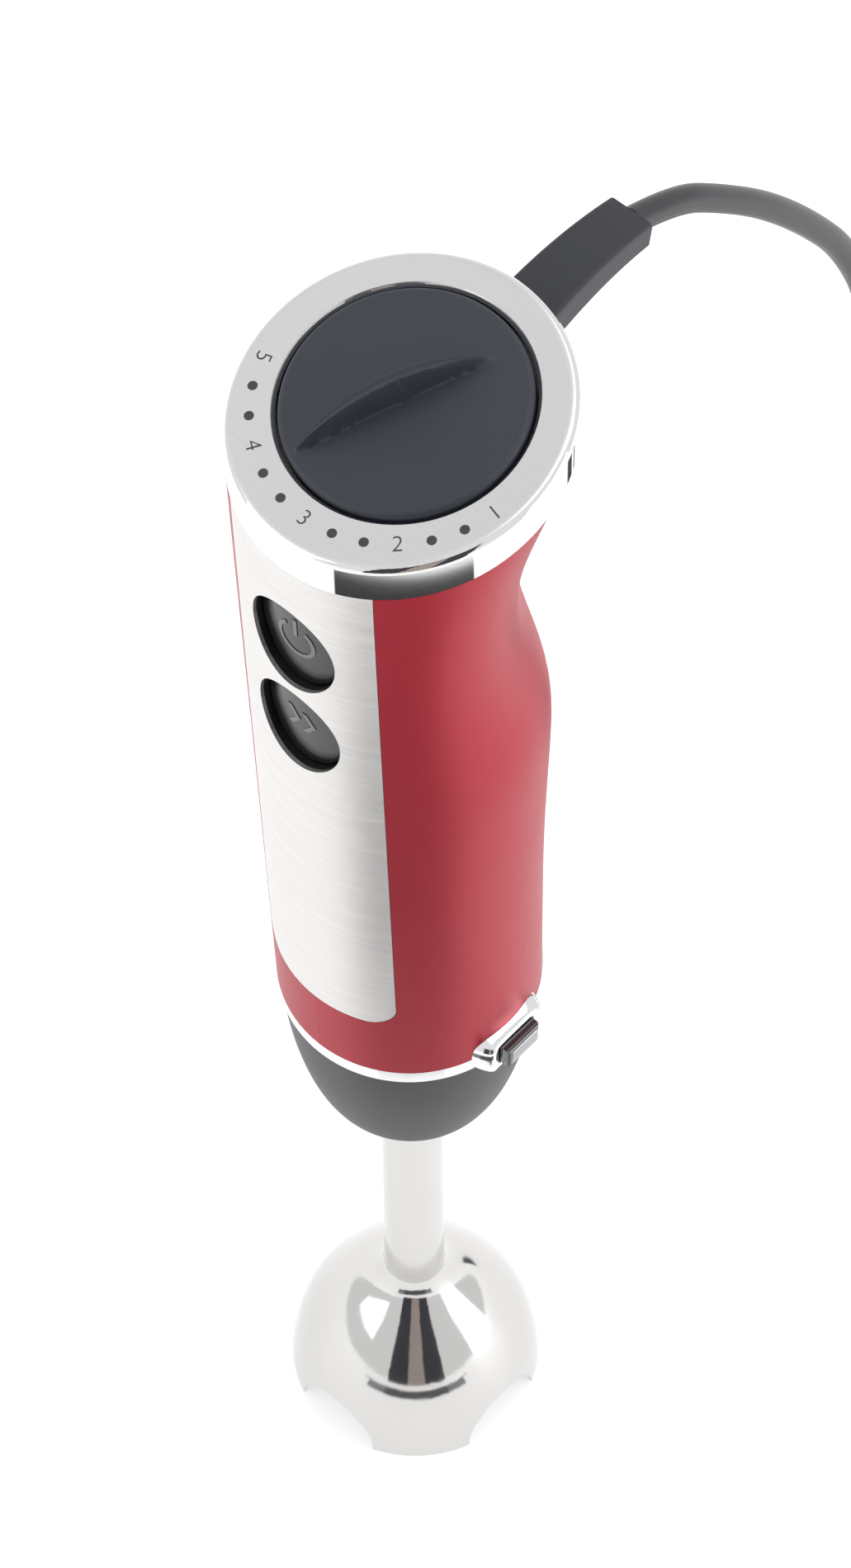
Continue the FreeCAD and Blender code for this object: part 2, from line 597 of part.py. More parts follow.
def make_release_buttons():
    """Each button has a thumb block outside and a spring tongue inside the sleeve."""
    for side, label in ((1, "left"), (-1, "right")):
        face = "body_foot_r + bezel_proud + release_proud"
        inner = "spigot_r + free_gap + 0.3"
        width, height = "2 * release_half_w", "release_h"
        thumb = box(f"{face} - ({inner})", width, height, f"{side} * (({face}) + ({inner})) / 2", 0, "joint_z + 0.8")
        tongue = box(1.3, "2 * release_half_w - 1", "spigot_h + 5", f"{side} * (({inner}) + 0.65)", 0,
                     "joint_z + 0.8")
        whole = fused(thumb, tongue)
        doc.recompute()
        outer_x = sheet.body_foot_r + sheet.bezel_proud + sheet.release_proud
        rounded = doc.addObject("Part::Fillet", "rounded")
        rounded.Base = whole
        rounded.Edges = [(index + 1, 1.1, 1.1) for index, edge in enumerate(whole.Shape.Edges)
                         if abs(edge.BoundBox.Center.x) > outer_x - 0.2]
        piece("release_button_" + label, rounded)
        spring_seat = sheet.spigot_r + sheet.free_gap + 0.3 - sheet.face_gap
        length = spring_seat - sheet.post_x - sheet.face_gap
        start = Vector(side * (sheet.post_x + sheet.face_gap), 0, levels.release_spring_z)
        outwards = Rotation(Vector(0, 1, 0), 90 * side)
        coil_spring("release_spring_" + label, 1.9, sheet.spring_wire_r, length, 6, start, outwards)


# ---------------------------------------------------------------- housing, plate and buttons
def make_housing():
    """Two shells that meet on the middle plane; the plate lies in a recess in their front."""
    inner = handle_solid(sheet.shell_wall, body_foot_z - 5, levels.head_z + 20)
    shell = handle_solid(0).cut(inner)
    shell = shell.common(below_head(sheet.ring_h + sheet.face_gap))
    recess_prism = plate_prism(sheet.plate_half_w + sheet.face_gap, levels.plate_foot_z - sheet.face_gap,
                               sheet.plate_corner_r)
    recess = handle_solid(-3).cut(handle_solid(sheet.plate_t + sheet.face_gap)).common(recess_prism)
    shell = shell.cut(recess)
    window_low = levels.turbo_z - sheet.button_half_h - sheet.frame_margin
    window_high = levels.power_z + sheet.button_half_h + sheet.frame_margin
    window = Part.makeBox(2 * sheet.frame_half_w, 40, window_high - window_low,
                          Vector(-sheet.frame_half_w, -50, window_low))
    shell = shell.cut(window)
    for side in (-1, 1):
        bezel_x = sheet.body_foot_r + 2.1
        bezel_space = Part.makeBox(20, 2 * (sheet.bezel_half_w + 0.15), sheet.bezel_h + 0.15,
                                   Vector(side * bezel_x - 10, -sheet.bezel_half_w - 0.15, sheet.joint_z - 1))
        shell = shell.cut(bezel_space)
    shell = shell.cut(boot_sleeve(2 * sheet.face_gap))
    for side, label in ((1, "left"), (-1, "right")):
        half_space = Part.makeBox(100, 200, 600, Vector(0 if side > 0 else -100, -100, 0))
        piece("housing_" + label, solid_of(shell.common(half_space), "half"))


def make_front_plate():
    sheet_body = handle_solid(0).cut(handle_solid(sheet.plate_t))
    outline = plate_prism(sheet.plate_half_w, levels.plate_foot_z, sheet.plate_corner_r)
    plate = sheet_body.common(outline).common(below_head(sheet.ring_h + sheet.face_gap))
    for z in (levels.power_z, levels.turbo_z):
        plate = plate.cut(oval_prism(z, 0, -60, -5))
    piece("front_plate", solid_of(plate, "plate"))


def make_button_frame():
    """Black frame behind the plate, with a deep oval well round each button."""
    low = levels.turbo_z - sheet.button_half_h - sheet.frame_margin + 0.2
    high = levels.power_z + sheet.button_half_h + sheet.frame_margin - 0.2
    outer = handle_solid(sheet.plate_t + sheet.face_gap)
    panel = outer.cut(handle_solid(sheet.plate_t + sheet.face_gap + 2.0))
    panel = panel.common(Part.makeBox(2 * sheet.frame_half_w - 0.4, 40, high - low,
                                      Vector(-sheet.frame_half_w + 0.2, -50, low)))
    for z in (levels.power_z, levels.turbo_z):
        well = oval_prism(z, 0.9, -60, sheet.button_back_y - 1.0).common(outer)
        panel = panel.fuse(well)
    for z in (levels.power_z, levels.turbo_z):
        panel = panel.cut(oval_prism(z, -0.02, -60, -5))
    piece("button_frame", solid_of(panel, "frame"))


def make_push_button(label, z):
    """An oval key whose face follows the plate, with its switch, plunger and return spring."""
    crown = handle_solid(sheet.plate_t + sheet.button_recess)
    key = oval_prism(z, -sheet.button_gap, -60, sheet.button_back_y).common(crown)
    doc_key = solid_of(key.removeSplitter(), "key")
    piece(label + "_button", doc_key)
    back, face = sheet.button_back_y, sheet.switch_face_y
    case = box(11, "switch_depth", 9, 0, "switch_face_y + switch_depth / 2", f"{z - 4.5}")
    hole = rod("1.6 + running_fit", "switch_depth - 1", 0, "switch_face_y - 0.01", str(z), ALONG_Y)
    piece(label + "_switch", cut(case, hole))
    plunger = rod(1.6, "switch_face_y - button_back_y - face_gap + 1.6", 0, "button_back_y + face_gap", str(z), ALONG_Y)
    piece(label + "_plunger", plunger)
    gap = sheet.face_gap
    coil_spring(label + "_spring", 3.2, sheet.spring_wire_r, face - back - 2 * gap, 5, Vector(0, back + gap, z), ALONG_Y)


def make_controls():
    board_y = "switch_face_y + switch_depth + face_gap"
    board_low = levels.turbo_z - 22
    board = box(30, "board_t", 72, 0, f"{board_y} + board_t / 2", str(board_low))
    piece("control_board", board)
    behind = sheet.switch_face_y + sheet.switch_depth + sheet.board_t + 2 * sheet.face_gap
    fins = [box(24, 9, 1.2, 0, behind + 4.5, z) for z in range(int(board_low) + 24, int(board_low) + 42, 4)]
    back_wall = box(24, 1.6, 19, 0, behind + 0.8, int(board_low) + 23)
    piece("triac_heatsink", fused(back_wall, *fins))
    piece("suppressor_capacitor", rod(6.0, 14, -7, behind, board_low + 10, ALONG_Y))
    choke = doc.addObject("Part::Torus", "choke")
    turned_about(choke, ALONG_Y)
    bind(choke, Radius1=4.2, Radius2=2.2, base_x=8, base_y=behind + 2.2, base_z=board_low + 10)
    piece("mains_choke", choke)


# ---------------------------------------------------------------- motor
def make_motor():
    low = "motor_z"
    bearing_bore = "bearing_r + seat_fit"
    lower = cut(rod("bracket_r", "bracket_h", 0, 0, low),
                rod(bearing_bore, "bracket_h", 0, 0, "motor_z + bracket_h - bearing_h"),
                rod(5.0, 30, 0, 0, "motor_z - 5"))
    posts, holes = [], []
    for side in (-1, 1):
        y = f"{side} * tie_bolt_y"
        posts.append(rod(2.6, "core_z - motor_z - bracket_h - face_gap", 0, y, "motor_z + bracket_h"))
        holes.append(rod("tie_bolt_r + seat_fit", 120, 0, y, "motor_z + 2"))
    rests = [box(2.0, 6, "motor_z - release_spring_z + 4.2", f"{side} * (post_x - 1)", 0, "release_spring_z - 3.2")
             for side in (-1, 1)]
    piece("lower_bracket", cut(fused(lower, *posts, *rests), *holes))
    upper_z = "deck_z"
    upper = cut(rod("bracket_r", "bracket_h", 0, 0, upper_z),
                rod(bearing_bore, "bracket_h", 0, 0, f"{upper_z} - 1"),
                rod(4.0, 30, 0, 0, f"{upper_z} - 5"))
    legs = [rod(2.6, "deck_rise - face_gap", 0, f"{side} * tie_bolt_y", "core_z + core_h + face_gap") for side in (-1, 1)]
    bolt_holes = [rod("tie_bolt_r + seat_fit", 40, 0, f"{side} * tie_bolt_y", "core_z + core_h") for side in (-1, 1)]
    piece("upper_bracket", cut(fused(upper, *legs), *bolt_holes))
    bolts = []
    for side in (-1, 1):
        y = f"{side} * tie_bolt_y"
        shank = rod("tie_bolt_r", f"{upper_z} + bracket_h + face_gap - motor_z - 3", 0, y, "motor_z + 3")
        head = rod(2.2, 1.6, 0, y, f"{upper_z} + bracket_h + face_gap")
        bolts.append(fused(shank, head))
    piece("motor_bolts", compound_of(bolts))
    lower_bearing_z = "motor_z + bracket_h - bearing_h + face_gap"
    for label, height, z in (("lower_bearing", "bearing_h - face_gap", lower_bearing_z),
                             ("upper_bearing", "bearing_h - 2 * face_gap", f"{upper_z} - 0.9")):
        piece(label, turned_ring(label, "bearing_r", "drive_r + running_fit", height, z))
    mounts = []
    for z, mid_z in (("motor_z", levels.motor_z), (upper_z, levels.deck_z)):
        reach = min(shell_reach(mid_z), shell_reach(mid_z + sheet.bracket_h)) - sheet.face_gap * 2
        mounts.append(ring(reach, "bracket_r + seat_fit", "bracket_h - 0.8", f"{z} + 0.4"))
    piece("rubber_mounts", compound_of(mounts))
    make_stator()
    make_rotor(upper_z)


def compound_of(features):
    doc.recompute()
    return solid_of(Part.makeCompound([f.Shape for f in features]), "group")


def shell_reach(z):
    """The nearest that the housing's inside comes to the axis at a height."""
    return front_radius(z) - drawn_in(z) - sheet.shell_wall


def make_stator():
    """A laminated ring with two poles at the sides, each with a field coil round it."""
    bore = "rotor_r + air_gap"
    yoke = ring("stator_r", "stator_r - 3.4", "core_h", "core_z")
    poles = common(ring("stator_r - 2", bore, "core_h", "core_z"), box("2 * stator_r", 19, "core_h", 0, 0, "core_z"))
    bolt_holes = [rod("tie_bolt_r + seat_fit", "core_h + 4", 0, f"{side} * tie_bolt_y", "core_z - 2")
                  for side in (-1, 1)]
    piece("stator_core", cut(fused(yoke, poles), *bolt_holes))
    outer, inner = "stator_r - 3.7", "rotor_r + air_gap + 0.4"
    coil_block = common(ring(outer, inner, "core_h + 9", "core_z - 4.5"),
                        box("3 * stator_r", 26, "core_h + 9", 0, 0, "core_z - 4.5"))
    gap = box("3 * stator_r", 19.4, "core_h + 0.4", 0, 0, "core_z - 0.2")
    doc.recompute()
    coils = coil_block.Shape.cut(gap.Shape)
    piece("field_coils", solid_of(Part.makeCompound(coils.Solids), "coils"))


def make_rotor(upper_z):
    piece("motor_shaft", rod("drive_r", f"{upper_z} + bracket_h + 1 - joint_z", 0, 0, "joint_z"))
    core = ring("rotor_r", "drive_r + seat_fit", "core_h", "core_z")
    doc.recompute()
    groove = Part.makeBox(3.0, 1.6, sheet.core_h + 4, Vector(sheet.rotor_r - 2.4, -0.8, levels.core_z - 2))
    slots = polar(solid_of(groove, "groove"), 12, 15)
    piece("armature_core", cut(core, slots))
    lower_end = ring(11.5, "drive_r + seat_fit", 5, "core_z - face_gap - 5")
    upper_end = ring(11.5, "drive_r + seat_fit", 5, "core_z + core_h + face_gap")
    piece("armature_winding", compound_of([lower_end, upper_end]))
    piece("commutator", turned_ring("commutator", "commutator_r", "drive_r + seat_fit", 10, "core_z + core_h + 7"))
    hub = ring(5.0, "drive_r + seat_fit", "fan_h", "motor_z + bracket_h + 1")
    disc = ring("fan_r", "drive_r + seat_fit", 1.2, "motor_z + bracket_h + 1")
    vane = Part.makeBox(sheet.fan_r - 4.9, 1.0, sheet.fan_h, Vector(4.5, -0.5, levels.motor_z + sheet.bracket_h + 1))
    blades = polar(solid_of(vane, "vane"), 9)
    doc.recompute()
    fan = hub.Shape.fuse([disc.Shape] + list(blades.Shape.Solids)).removeSplitter()
    piece("cooling_fan", solid_of(fan, "fan"))
    hub_base = sheet.joint_z + 11.5
    star = star_prism(sheet.dog_r, sheet.dog_root_r, sheet.joint_z, 12.0)
    dog_hub = Part.makeCylinder(7.0, levels.motor_z - hub_base - sheet.free_gap, Vector(0, 0, hub_base))
    dog = star.fuse(dog_hub).removeSplitter().cut(
        Part.makeCylinder(sheet.drive_r + sheet.seat_fit, 60, Vector(0, 0, sheet.joint_z - 5)))
    piece("driving_star", solid_of(dog, "dog"))
    brush_z = "core_z + core_h + 9.5"
    reach = "commutator_r + 0.15"
    brushes, holders = [], []
    for side in (-1, 1):
        brushes.append(box(7, 5, 5, f"{side} * ({reach} + 3.5)", 0, brush_z))
        holder = box(11, 7.4, f"19 - 7.6", f"{side} * (commutator_r + 7.0)", 0, "core_z + core_h + 7.6")
        slot = box(30, 5.1, 5.1, f"{side} * 15", 0, f"{brush_z} - 0.05")
        holders.append(cut(holder, slot))
    piece("carbon_brushes", compound_of(brushes))
    piece("brush_holders", compound_of(holders))


# ---------------------------------------------------------------- dial head
def make_head():
    outer = Part.makeCylinder(sheet.body_head_r, 120, Vector(0, 0, levels.head_z - 70))
    above = Part.makeBox(200, 200, 100, Vector(-100, -100, 0))
    above.Placement = head_place
    blank = outer.cut(above).cut(below_head(sheet.ring_h))
    rim = [edge for edge in blank.Edges
           if abs((edge.BoundBox.Center - head_place.Base).dot(head_normal)) < 1.0 and edge.Length > 150]
    blank = blank.makeFillet(1.9, rim)
    opening = Part.makeCylinder(sheet.dial_r, 60, Vector(0, 0, -30))
    relief = Part.makeCylinder(sheet.carrier_r + sheet.face_gap, 30, Vector(0, 0, -30 - sheet.carrier_drop))
    bevel = Part.makeCone(sheet.dial_r, sheet.dial_r + 1.0, 1.0, Vector(0, 0, -0.8))
    for tool in (opening, relief, bevel):
        tool.Placement = head_place
        blank = blank.cut(tool)
    piece("dial_ring", solid_of(blank, "ring"))
    make_knob()
    carrier_z = -sheet.carrier_drop - sheet.carrier_t
    carrier = Part.makeCylinder(sheet.carrier_r, sheet.carrier_t, Vector(0, 0, carrier_z))
    carrier = carrier.cut(Part.makeCylinder(sheet.stem_r + sheet.running_fit, 60, Vector(0, 0, -40)))
    collar = Part.makeCylinder(10.5, 2.4, Vector(0, 0, -sheet.carrier_drop - sheet.carrier_t - 2.4))
    carrier = carrier.fuse(collar.cut(Part.makeCylinder(sheet.pot_r + 0.05, 60, Vector(0, 0, -40))))
    carrier.Placement = head_place
    limit = Part.makeCylinder(sheet.body_head_r - sheet.shell_wall - 0.9, 120, Vector(0, 0, levels.head_z - 70))
    piece("head_carrier", solid_of(carrier.common(limit), "carrier"))
    pot = Part.makeCylinder(sheet.pot_r, 7.5, Vector(0, 0, -sheet.carrier_drop - sheet.carrier_t - sheet.face_gap - 7.5))
    pot = pot.cut(Part.makeCylinder(sheet.stem_r + sheet.running_fit, 8.5,
                                    Vector(0, 0, -sheet.carrier_drop - sheet.carrier_t - 6)))
    piece("speed_potentiometer", tilted(solid_of(pot, "pot")))


def make_knob():
    """A domed disc with a finger ridge, on a stem that turns the potentiometer."""
    radius = sheet.dial_r - sheet.knob_gap
    low = 0.6 - sheet.knob_h
    profile = [
        line(Vector(0, 0, low), Vector(radius, 0, low)),
        line(Vector(radius, 0, low), Vector(radius, 0, -0.6)),
        arc_through(Vector(radius, 0, -0.6), Vector(radius - 0.4, 0, 0.35), Vector(radius - 1.4, 0, 0.8)),
        arc_through(Vector(radius - 1.4, 0, 0.8), Vector(radius / 2, 0, 1.9), Vector(0, 0, 2.2)),
        line(Vector(0, 0, 2.2), Vector(0, 0, low)),
    ]
    disc = Part.Face(Part.Wire(profile)).revolve(Vector(), Vector(0, 0, 1), 360)
    reach, rise = sheet.fin_reach, sheet.fin_h
    side = Part.Face(Part.Wire([
        arc_through(Vector(-reach, -10, 0.3), Vector(-reach * 0.1, -10, rise), Vector(reach * 0.82, -10, 0.8)),
        line(Vector(reach * 0.82, -10, 0.8), Vector(reach * 0.82, -10, -2)),
        line(Vector(reach * 0.82, -10, -2), Vector(-reach, -10, -2)),
        line(Vector(-reach, -10, -2), Vector(-reach, -10, 0.3)),
    ])).extrude(Vector(0, 20, 0))
    near = -0.6
    plan = Part.Face(Part.Wire([
        line(Vector(-reach, near, -3), Vector(reach * 0.82, near, -3)),
        arc_through(Vector(reach * 0.82, near, -3), Vector(-reach * 0.05, near + 5.4, -3), Vector(-reach, near, -3)),
    ])).extrude(Vector(0, 0, 20))
    fin = side.common(plan)
    fin.rotate(Vector(), Vector(0, 0, 1), sheet.ridge_angle)
    boss = Part.makeCylinder(5.0, sheet.carrier_drop + low - sheet.free_gap,
                             Vector(0, 0, -sheet.carrier_drop + sheet.free_gap))
    knob = disc.fuse([fin, boss]).removeSplitter()
    knob = knob.cut(Part.makeCylinder(sheet.stem_r + sheet.seat_fit, sheet.carrier_drop + low + 1.5,
                                      Vector(0, 0, -sheet.carrier_drop)))
    piece("speed_knob", tilted(solid_of(knob, "knob")))
    stem_top = low + 1.5 - sheet.face_gap
    stem = Part.makeCylinder(sheet.stem_r, stem_top + sheet.carrier_drop + sheet.carrier_t + 5,
                             Vector(0, 0, -sheet.carrier_drop - sheet.carrier_t - 5))
    piece("knob_stem", tilted(solid_of(stem, "stem")))


# ---------------------------------------------------------------- mains cord
def boot_section(y, z, slope, half_w, half_h):
    """A rounded rectangle across the cord's direction."""
    r = min(half_w, half_h) * 0.35
    w, t = half_w, half_h
    k = r * (1 - math.sqrt(0.5))
    edges = []
    for turn, (a, b) in enumerate(((w, t), (t, w), (w, t), (t, w))):
        side = [line(Vector(a, -b + r, 0), Vector(a, b - r, 0)),
                arc_through(Vector(a, b - r, 0), Vector(a - k, b - k, 0), Vector(a - r, b, 0))]
        for edge in side:
            edge.rotate(Vector(), Vector(0, 0, 1), 90 * turn)
            edges.append(edge)
    wire = Part.Wire(edges)
    wire.rotate(Vector(), Vector(1, 0, 0), -90 - slope)
    wire.translate(Vector(0, y, z))
    return wire


def boot_centre(share):
    """Height and downward slope (degrees) of the strain relief's middle line; it rises, then bends down."""
    length = sheet.boot_y - sheet.boot_root_y
    rise, fall = math.tan(math.radians(sheet.boot_lift)), math.tan(math.radians(sheet.boot_drop))
    bend = (rise + fall) / (2 * length)
    run = length * share
    return levels.boot_root_z + rise * run - bend * run * run, -math.degrees(math.atan(rise - 2 * bend * run))


def boot_sleeve(grow=0.0):
    """The strain relief's tapered sleeve, from the handle to its end."""
    sections = []
    for k in range(9):
        share = k / 8
        z, slope = boot_centre(share)
        y = sheet.boot_root_y + (sheet.boot_y - sheet.boot_root_y) * share
        sections.append(boot_section(y, z, slope, sheet.boot_half_w - sheet.boot_taper * share + grow,
                                     sheet.boot_half_h - 0.7 * share + grow))
    return Part.makeLoft(sections, True, False)


def make_boot():
    root_y = sheet.boot_root_y
    sleeve = boot_sleeve()
    flange = Part.makeBox(2 * sheet.boot_half_w + 4, 2.4, 2 * sheet.boot_half_h + 0.4,
                          Vector(-sheet.boot_half_w - 2, root_y - 2.4, levels.boot_root_z - sheet.boot_half_h - 0.8))
    boot = sleeve.fuse(flange).removeSplitter()
    piece("cord_boot", solid_of(boot, "boot"))
    clamp = Part.makeBox(22, 5, 3, Vector(-11, root_y - 2.4 - sheet.face_gap - 5, levels.boot_root_z - 5.5))
    piece("cord_clamp", solid_of(clamp, "clamp"))


CORD_ROUTE = [
    (0, sheet.boot_y, boot_centre(1.0)[0]), (0, 80, 382.2), (1.5, 93, 372.5), (3, 106, 358.5), (4.5, 119, 343),
    (6, 131.5, 325), (7, 142.5, 298), (7, 149.5, 262), (7, 155, 222), (7, 160, 178), (7, 165.5, 134),
    (7, 171, 94), (7, 178, 58), (7, 186.5, 33), (7.5, 197, 15.5), (9, 209.5, 7.2), (12.8, 221, 3.5),
]


def cord_path(route):
    """Straight runs joined by tangent arcs, each as large as its two runs allow."""
    points = [Vector(*p) for p in route]
    edges, radii, start = [], [], points[0]
    for before, corner, after in zip(points, points[1:], points[2:]):
        u, v = (before - corner), (after - corner)
        shorter = min(u.Length, v.Length)
        u.normalize()
        v.normalize()
        turn = math.pi - u.getAngle(v)
        setback = 0.45 * shorter
        radius = setback / math.tan(turn / 2)
        radii.append(radius)
        enter, leave = corner + u * setback, corner + v * setback
        middle = (u + v).normalize()
        centre_distance = radius / math.cos(turn / 2)
        mid_point = corner + middle * (centre_distance - radius)
        edges.append(line(start, enter))
        edges.append(arc_through(enter, mid_point, leave))
        start = leave
    edges.append(line(start, points[-1]))
    return Part.Wire(edges), radii


def make_cord():
    wire, radii = cord_path(CORD_ROUTE)
    first = Vector(*CORD_ROUTE[1]) - Vector(*CORD_ROUTE[0])
    section = Part.Wire([Part.makeCircle(sheet.cord_r, Vector(*CORD_ROUTE[0]), first)])
    tube = wire.makePipeShell([section], True, True)
    expected = math.pi * sheet.cord_r ** 2 * wire.Length
    print("cord radii", [round(r, 1) for r in radii])
    print("cord length", round(wire.Length, 1), "volume", round(tube.Volume), "expected", round(expected))
    piece("mains_cord", solid_of(tube, "cord"))
    coil = Part.makeCylinder(sheet.coil_r, sheet.coil_h, Vector(sheet.coil_x, sheet.coil_y, 0))
    coil = coil.cut(Part.makeCylinder(sheet.coil_in_r, sheet.coil_h + 4, Vector(sheet.coil_x, sheet.coil_y, -2)))
    piece("cord_coil", solid_of(coil, "coil"))


def make_plug():
    """A flat two-pin plug that lies on the coil; its tail slopes down to the coil's top."""
    half_w, half_t, length = sheet.plug_half_w, sheet.plug_half_t, sheet.plug_l
    axis_z = sheet.coil_h + sheet.face_gap + half_t
    back_y = sheet.coil_y + sheet.plug_y
    shapes = []
    for share, scale in ((0.0, 0.62), (0.3, 0.92), (1.0, 1.0)):
        wire = boot_section(back_y + length * share, axis_z, 0, half_w * scale, half_t * (0.8 + 0.2 * scale))
        shapes.append(wire)
    body = Part.makeLoft(shapes, True, False)
    slope = math.radians(24)
    tail = Part.makeCone(5.2, 4.0, 26, Vector(0, back_y + 3, axis_z),
                         Vector(0, -math.cos(slope), -math.sin(slope)))
    above_coil = Part.makeBox(200, 400, 100, Vector(-100, 0, sheet.coil_h))
    body = body.fuse(tail).common(above_coil).removeSplitter()
    plug_x = sheet.coil_x + sheet.plug_x
    body.translate(Vector(plug_x, 0, 0))
    piece("mains_plug", solid_of(body, "plug"))
    pins = [Part.makeCylinder(sheet.pin_r, sheet.pin_l, Vector(plug_x + side * sheet.pin_pitch / 2,
                                                                back_y + length + sheet.face_gap, axis_z),
                              Vector(0, 1, 0)) for side in (-1, 1)]
    piece("plug_pins", solid_of(Part.makeCompound(pins), "pins"))



make_leg()
make_collar()
make_release_buttons()
make_housing()
make_front_plate()
make_button_frame()
make_push_button("power", levels.power_z)
make_push_button("turbo", levels.turbo_z)
make_controls()
make_motor()
make_head()
make_boot()
make_cord()
make_plug()

doc.recompute()
os.makedirs("parts", exist_ok=True)
for feature in doc.Objects:
    if {"Invalid", "Error"} & set(feature.State):
        raise RuntimeError(f"{feature.Name} ({feature.Label}) failed")
for label, feature in pieces.items():
    shape = feature.Shape
    if shape.isNull() or not shape.isValid() or shape.Volume < 1:
        raise RuntimeError(f"{label} has no sound shape")
    print(f"{label:24s} {len(shape.Solids)} {shape.Volume:10.1f}  {shape.BoundBox}")
    shape.exportStep(f"parts/{label}.step")
print(len(pieces), "pieces")
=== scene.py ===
# %% [markdown]
# # A corded stick mixer, dressed for its portrait
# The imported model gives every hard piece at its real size. This lesson adds the camera, the cord, the finishes
# and the small pieces that make the mixer look real: the soft knob, the dial's numbers, the signs on the keys,
# the lips and pads of the release buttons and the ribs of the plug. All lengths are in metres, or in
# millimetres where they are multiplied by MM.

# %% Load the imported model
import json
import math

import bpy
from mathutils import Euler, Matrix, Vector


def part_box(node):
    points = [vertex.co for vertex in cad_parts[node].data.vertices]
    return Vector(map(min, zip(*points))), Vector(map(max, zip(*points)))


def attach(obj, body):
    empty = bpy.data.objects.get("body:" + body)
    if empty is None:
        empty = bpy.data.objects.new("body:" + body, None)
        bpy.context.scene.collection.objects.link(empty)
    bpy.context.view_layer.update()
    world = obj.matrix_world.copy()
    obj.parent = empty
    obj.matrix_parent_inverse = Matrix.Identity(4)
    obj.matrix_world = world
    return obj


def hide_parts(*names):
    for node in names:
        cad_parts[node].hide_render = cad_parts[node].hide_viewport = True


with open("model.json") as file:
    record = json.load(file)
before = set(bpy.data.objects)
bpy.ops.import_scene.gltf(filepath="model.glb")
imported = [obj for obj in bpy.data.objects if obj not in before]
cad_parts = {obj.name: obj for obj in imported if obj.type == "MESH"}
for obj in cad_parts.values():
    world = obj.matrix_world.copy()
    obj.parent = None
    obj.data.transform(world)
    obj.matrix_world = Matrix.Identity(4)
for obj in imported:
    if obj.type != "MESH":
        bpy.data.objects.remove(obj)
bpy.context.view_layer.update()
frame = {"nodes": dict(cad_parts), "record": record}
nodes = frame["nodes"]
MM = 0.001

# %% [markdown]
# ## The camera
# A long lens looks down from well above the dial, from the front and the mixer's left, so the dial looks big
# and the foot small.

# %% Camera
camera_data = bpy.data.cameras.new("portrait_lens")
camera_data.sensor_width = 36.0
camera_data.lens = 106.12
camera_data.clip_start, camera_data.clip_end = 0.05, 20.0
camera = bpy.data.objects.new("portrait_camera", camera_data)
camera.location = (0.36986, -0.39665, 1.0756)
camera.rotation_euler = Euler([math.radians(a) for a in (33.659, 0.294, 42.147)])
bpy.context.collection.objects.link(camera)
bpy.context.scene.camera = camera
bpy.context.scene.view_settings.view_transform = "Standard"
print("a lens of", camera_data.lens, "mm looks from", round(camera.location.length, 2), "m away")

# %% [markdown]
# ## The mains cord
# A round lead of 6 mm leaves the strain relief, hangs down behind the handle in one long bend and reaches the
# table. What is left of it is wound into a flat coil of four turns, two beside each other and two on top.
# One NURBS curve makes all of it, so that nothing kinks; the coil's turns are more points of the same curve.

# %% Cord points
CORD_D = 6 * MM
HANGING = [
    (0, 66, 385.45), (0, 80, 380.6), (1.5, 93, 370.5), (3, 106, 358.5), (4.5, 119, 343), (6, 131.5, 325),
    (7, 142.5, 298), (7, 149.5, 262), (7, 155, 222), (7, 160, 178), (7, 165.5, 134), (7, 171, 94),
    (7, 178, 58), (7, 186.5, 33), (7.5, 197, 15.5), (9, 209.5, 7.2), (12.8, 221, 3.6),
]
COIL_CENTRE = Vector((0, 256, 0))
COIL_START = -48  # degrees, where the lead runs into the first turn
TURNS = [(34.6, 3.2), (27.9, 3.2), (28.1, 8.9), (34.4, 8.9)]  # radius and height of each turn
STEPS = 14  # points in one turn
DRIFT_FROM, DRIFT_SPAN = 0.66, 0.34  # the share of a turn that leads over to the next one


def coil_points():
    """Points of the four turns, in millimetres; each turn drifts into the next over its last third."""
    points = []
    for turn, (radius, height) in enumerate(TURNS):
        next_radius, next_height = TURNS[min(turn + 1, len(TURNS) - 1)]
        steps = STEPS if turn < len(TURNS) - 1 else STEPS - 1
        for step in range(steps):
            drift = max(0.0, (step / STEPS - DRIFT_FROM) / DRIFT_SPAN)
            drift = drift * drift * (3 - 2 * drift)
            r = (radius + (next_radius - radius) * drift) / math.cos(math.pi / STEPS)
            z = height + (next_height - height) * drift
            angle = math.radians(COIL_START + 360 * step / STEPS)
            points.append(COIL_CENTRE + Vector((r * math.cos(angle), r * math.sin(angle), z)))
    return points


TAIL = [(18.2, 229, 9.2), (24.2, 238.5, 9.6), (26.4, 248, 11.2), (26.2, 256, 14.6), (26, 262, 17.4)]
route = [Vector(p) for p in HANGING] + coil_points() + [Vector(p) for p in TAIL]
print("the cord's route has", len(route), "points")


# %% Cord curve
def smooth_tube(name, points, radius):
    """A round tube along one open NURBS spline near its points; each point carries the tube's radius."""
    data = bpy.data.curves.new(name, "CURVE")
    data.dimensions = "3D"
    spline = data.splines.new("NURBS")
    spline.points.add(len(points) - 1)
    for point, spot in zip(spline.points, points):
        point.co = (*(Vector(spot) * MM), 1.0)
        point.radius = radius
    spline.order_u = 3
    spline.use_endpoint_u = True
    spline.resolution_u = 8
    data.bevel_depth = 1.0
    data.bevel_resolution = 5
    data.use_fill_caps = True
    made = bpy.data.objects.new(name, data)
    bpy.context.collection.objects.link(made)
    return made


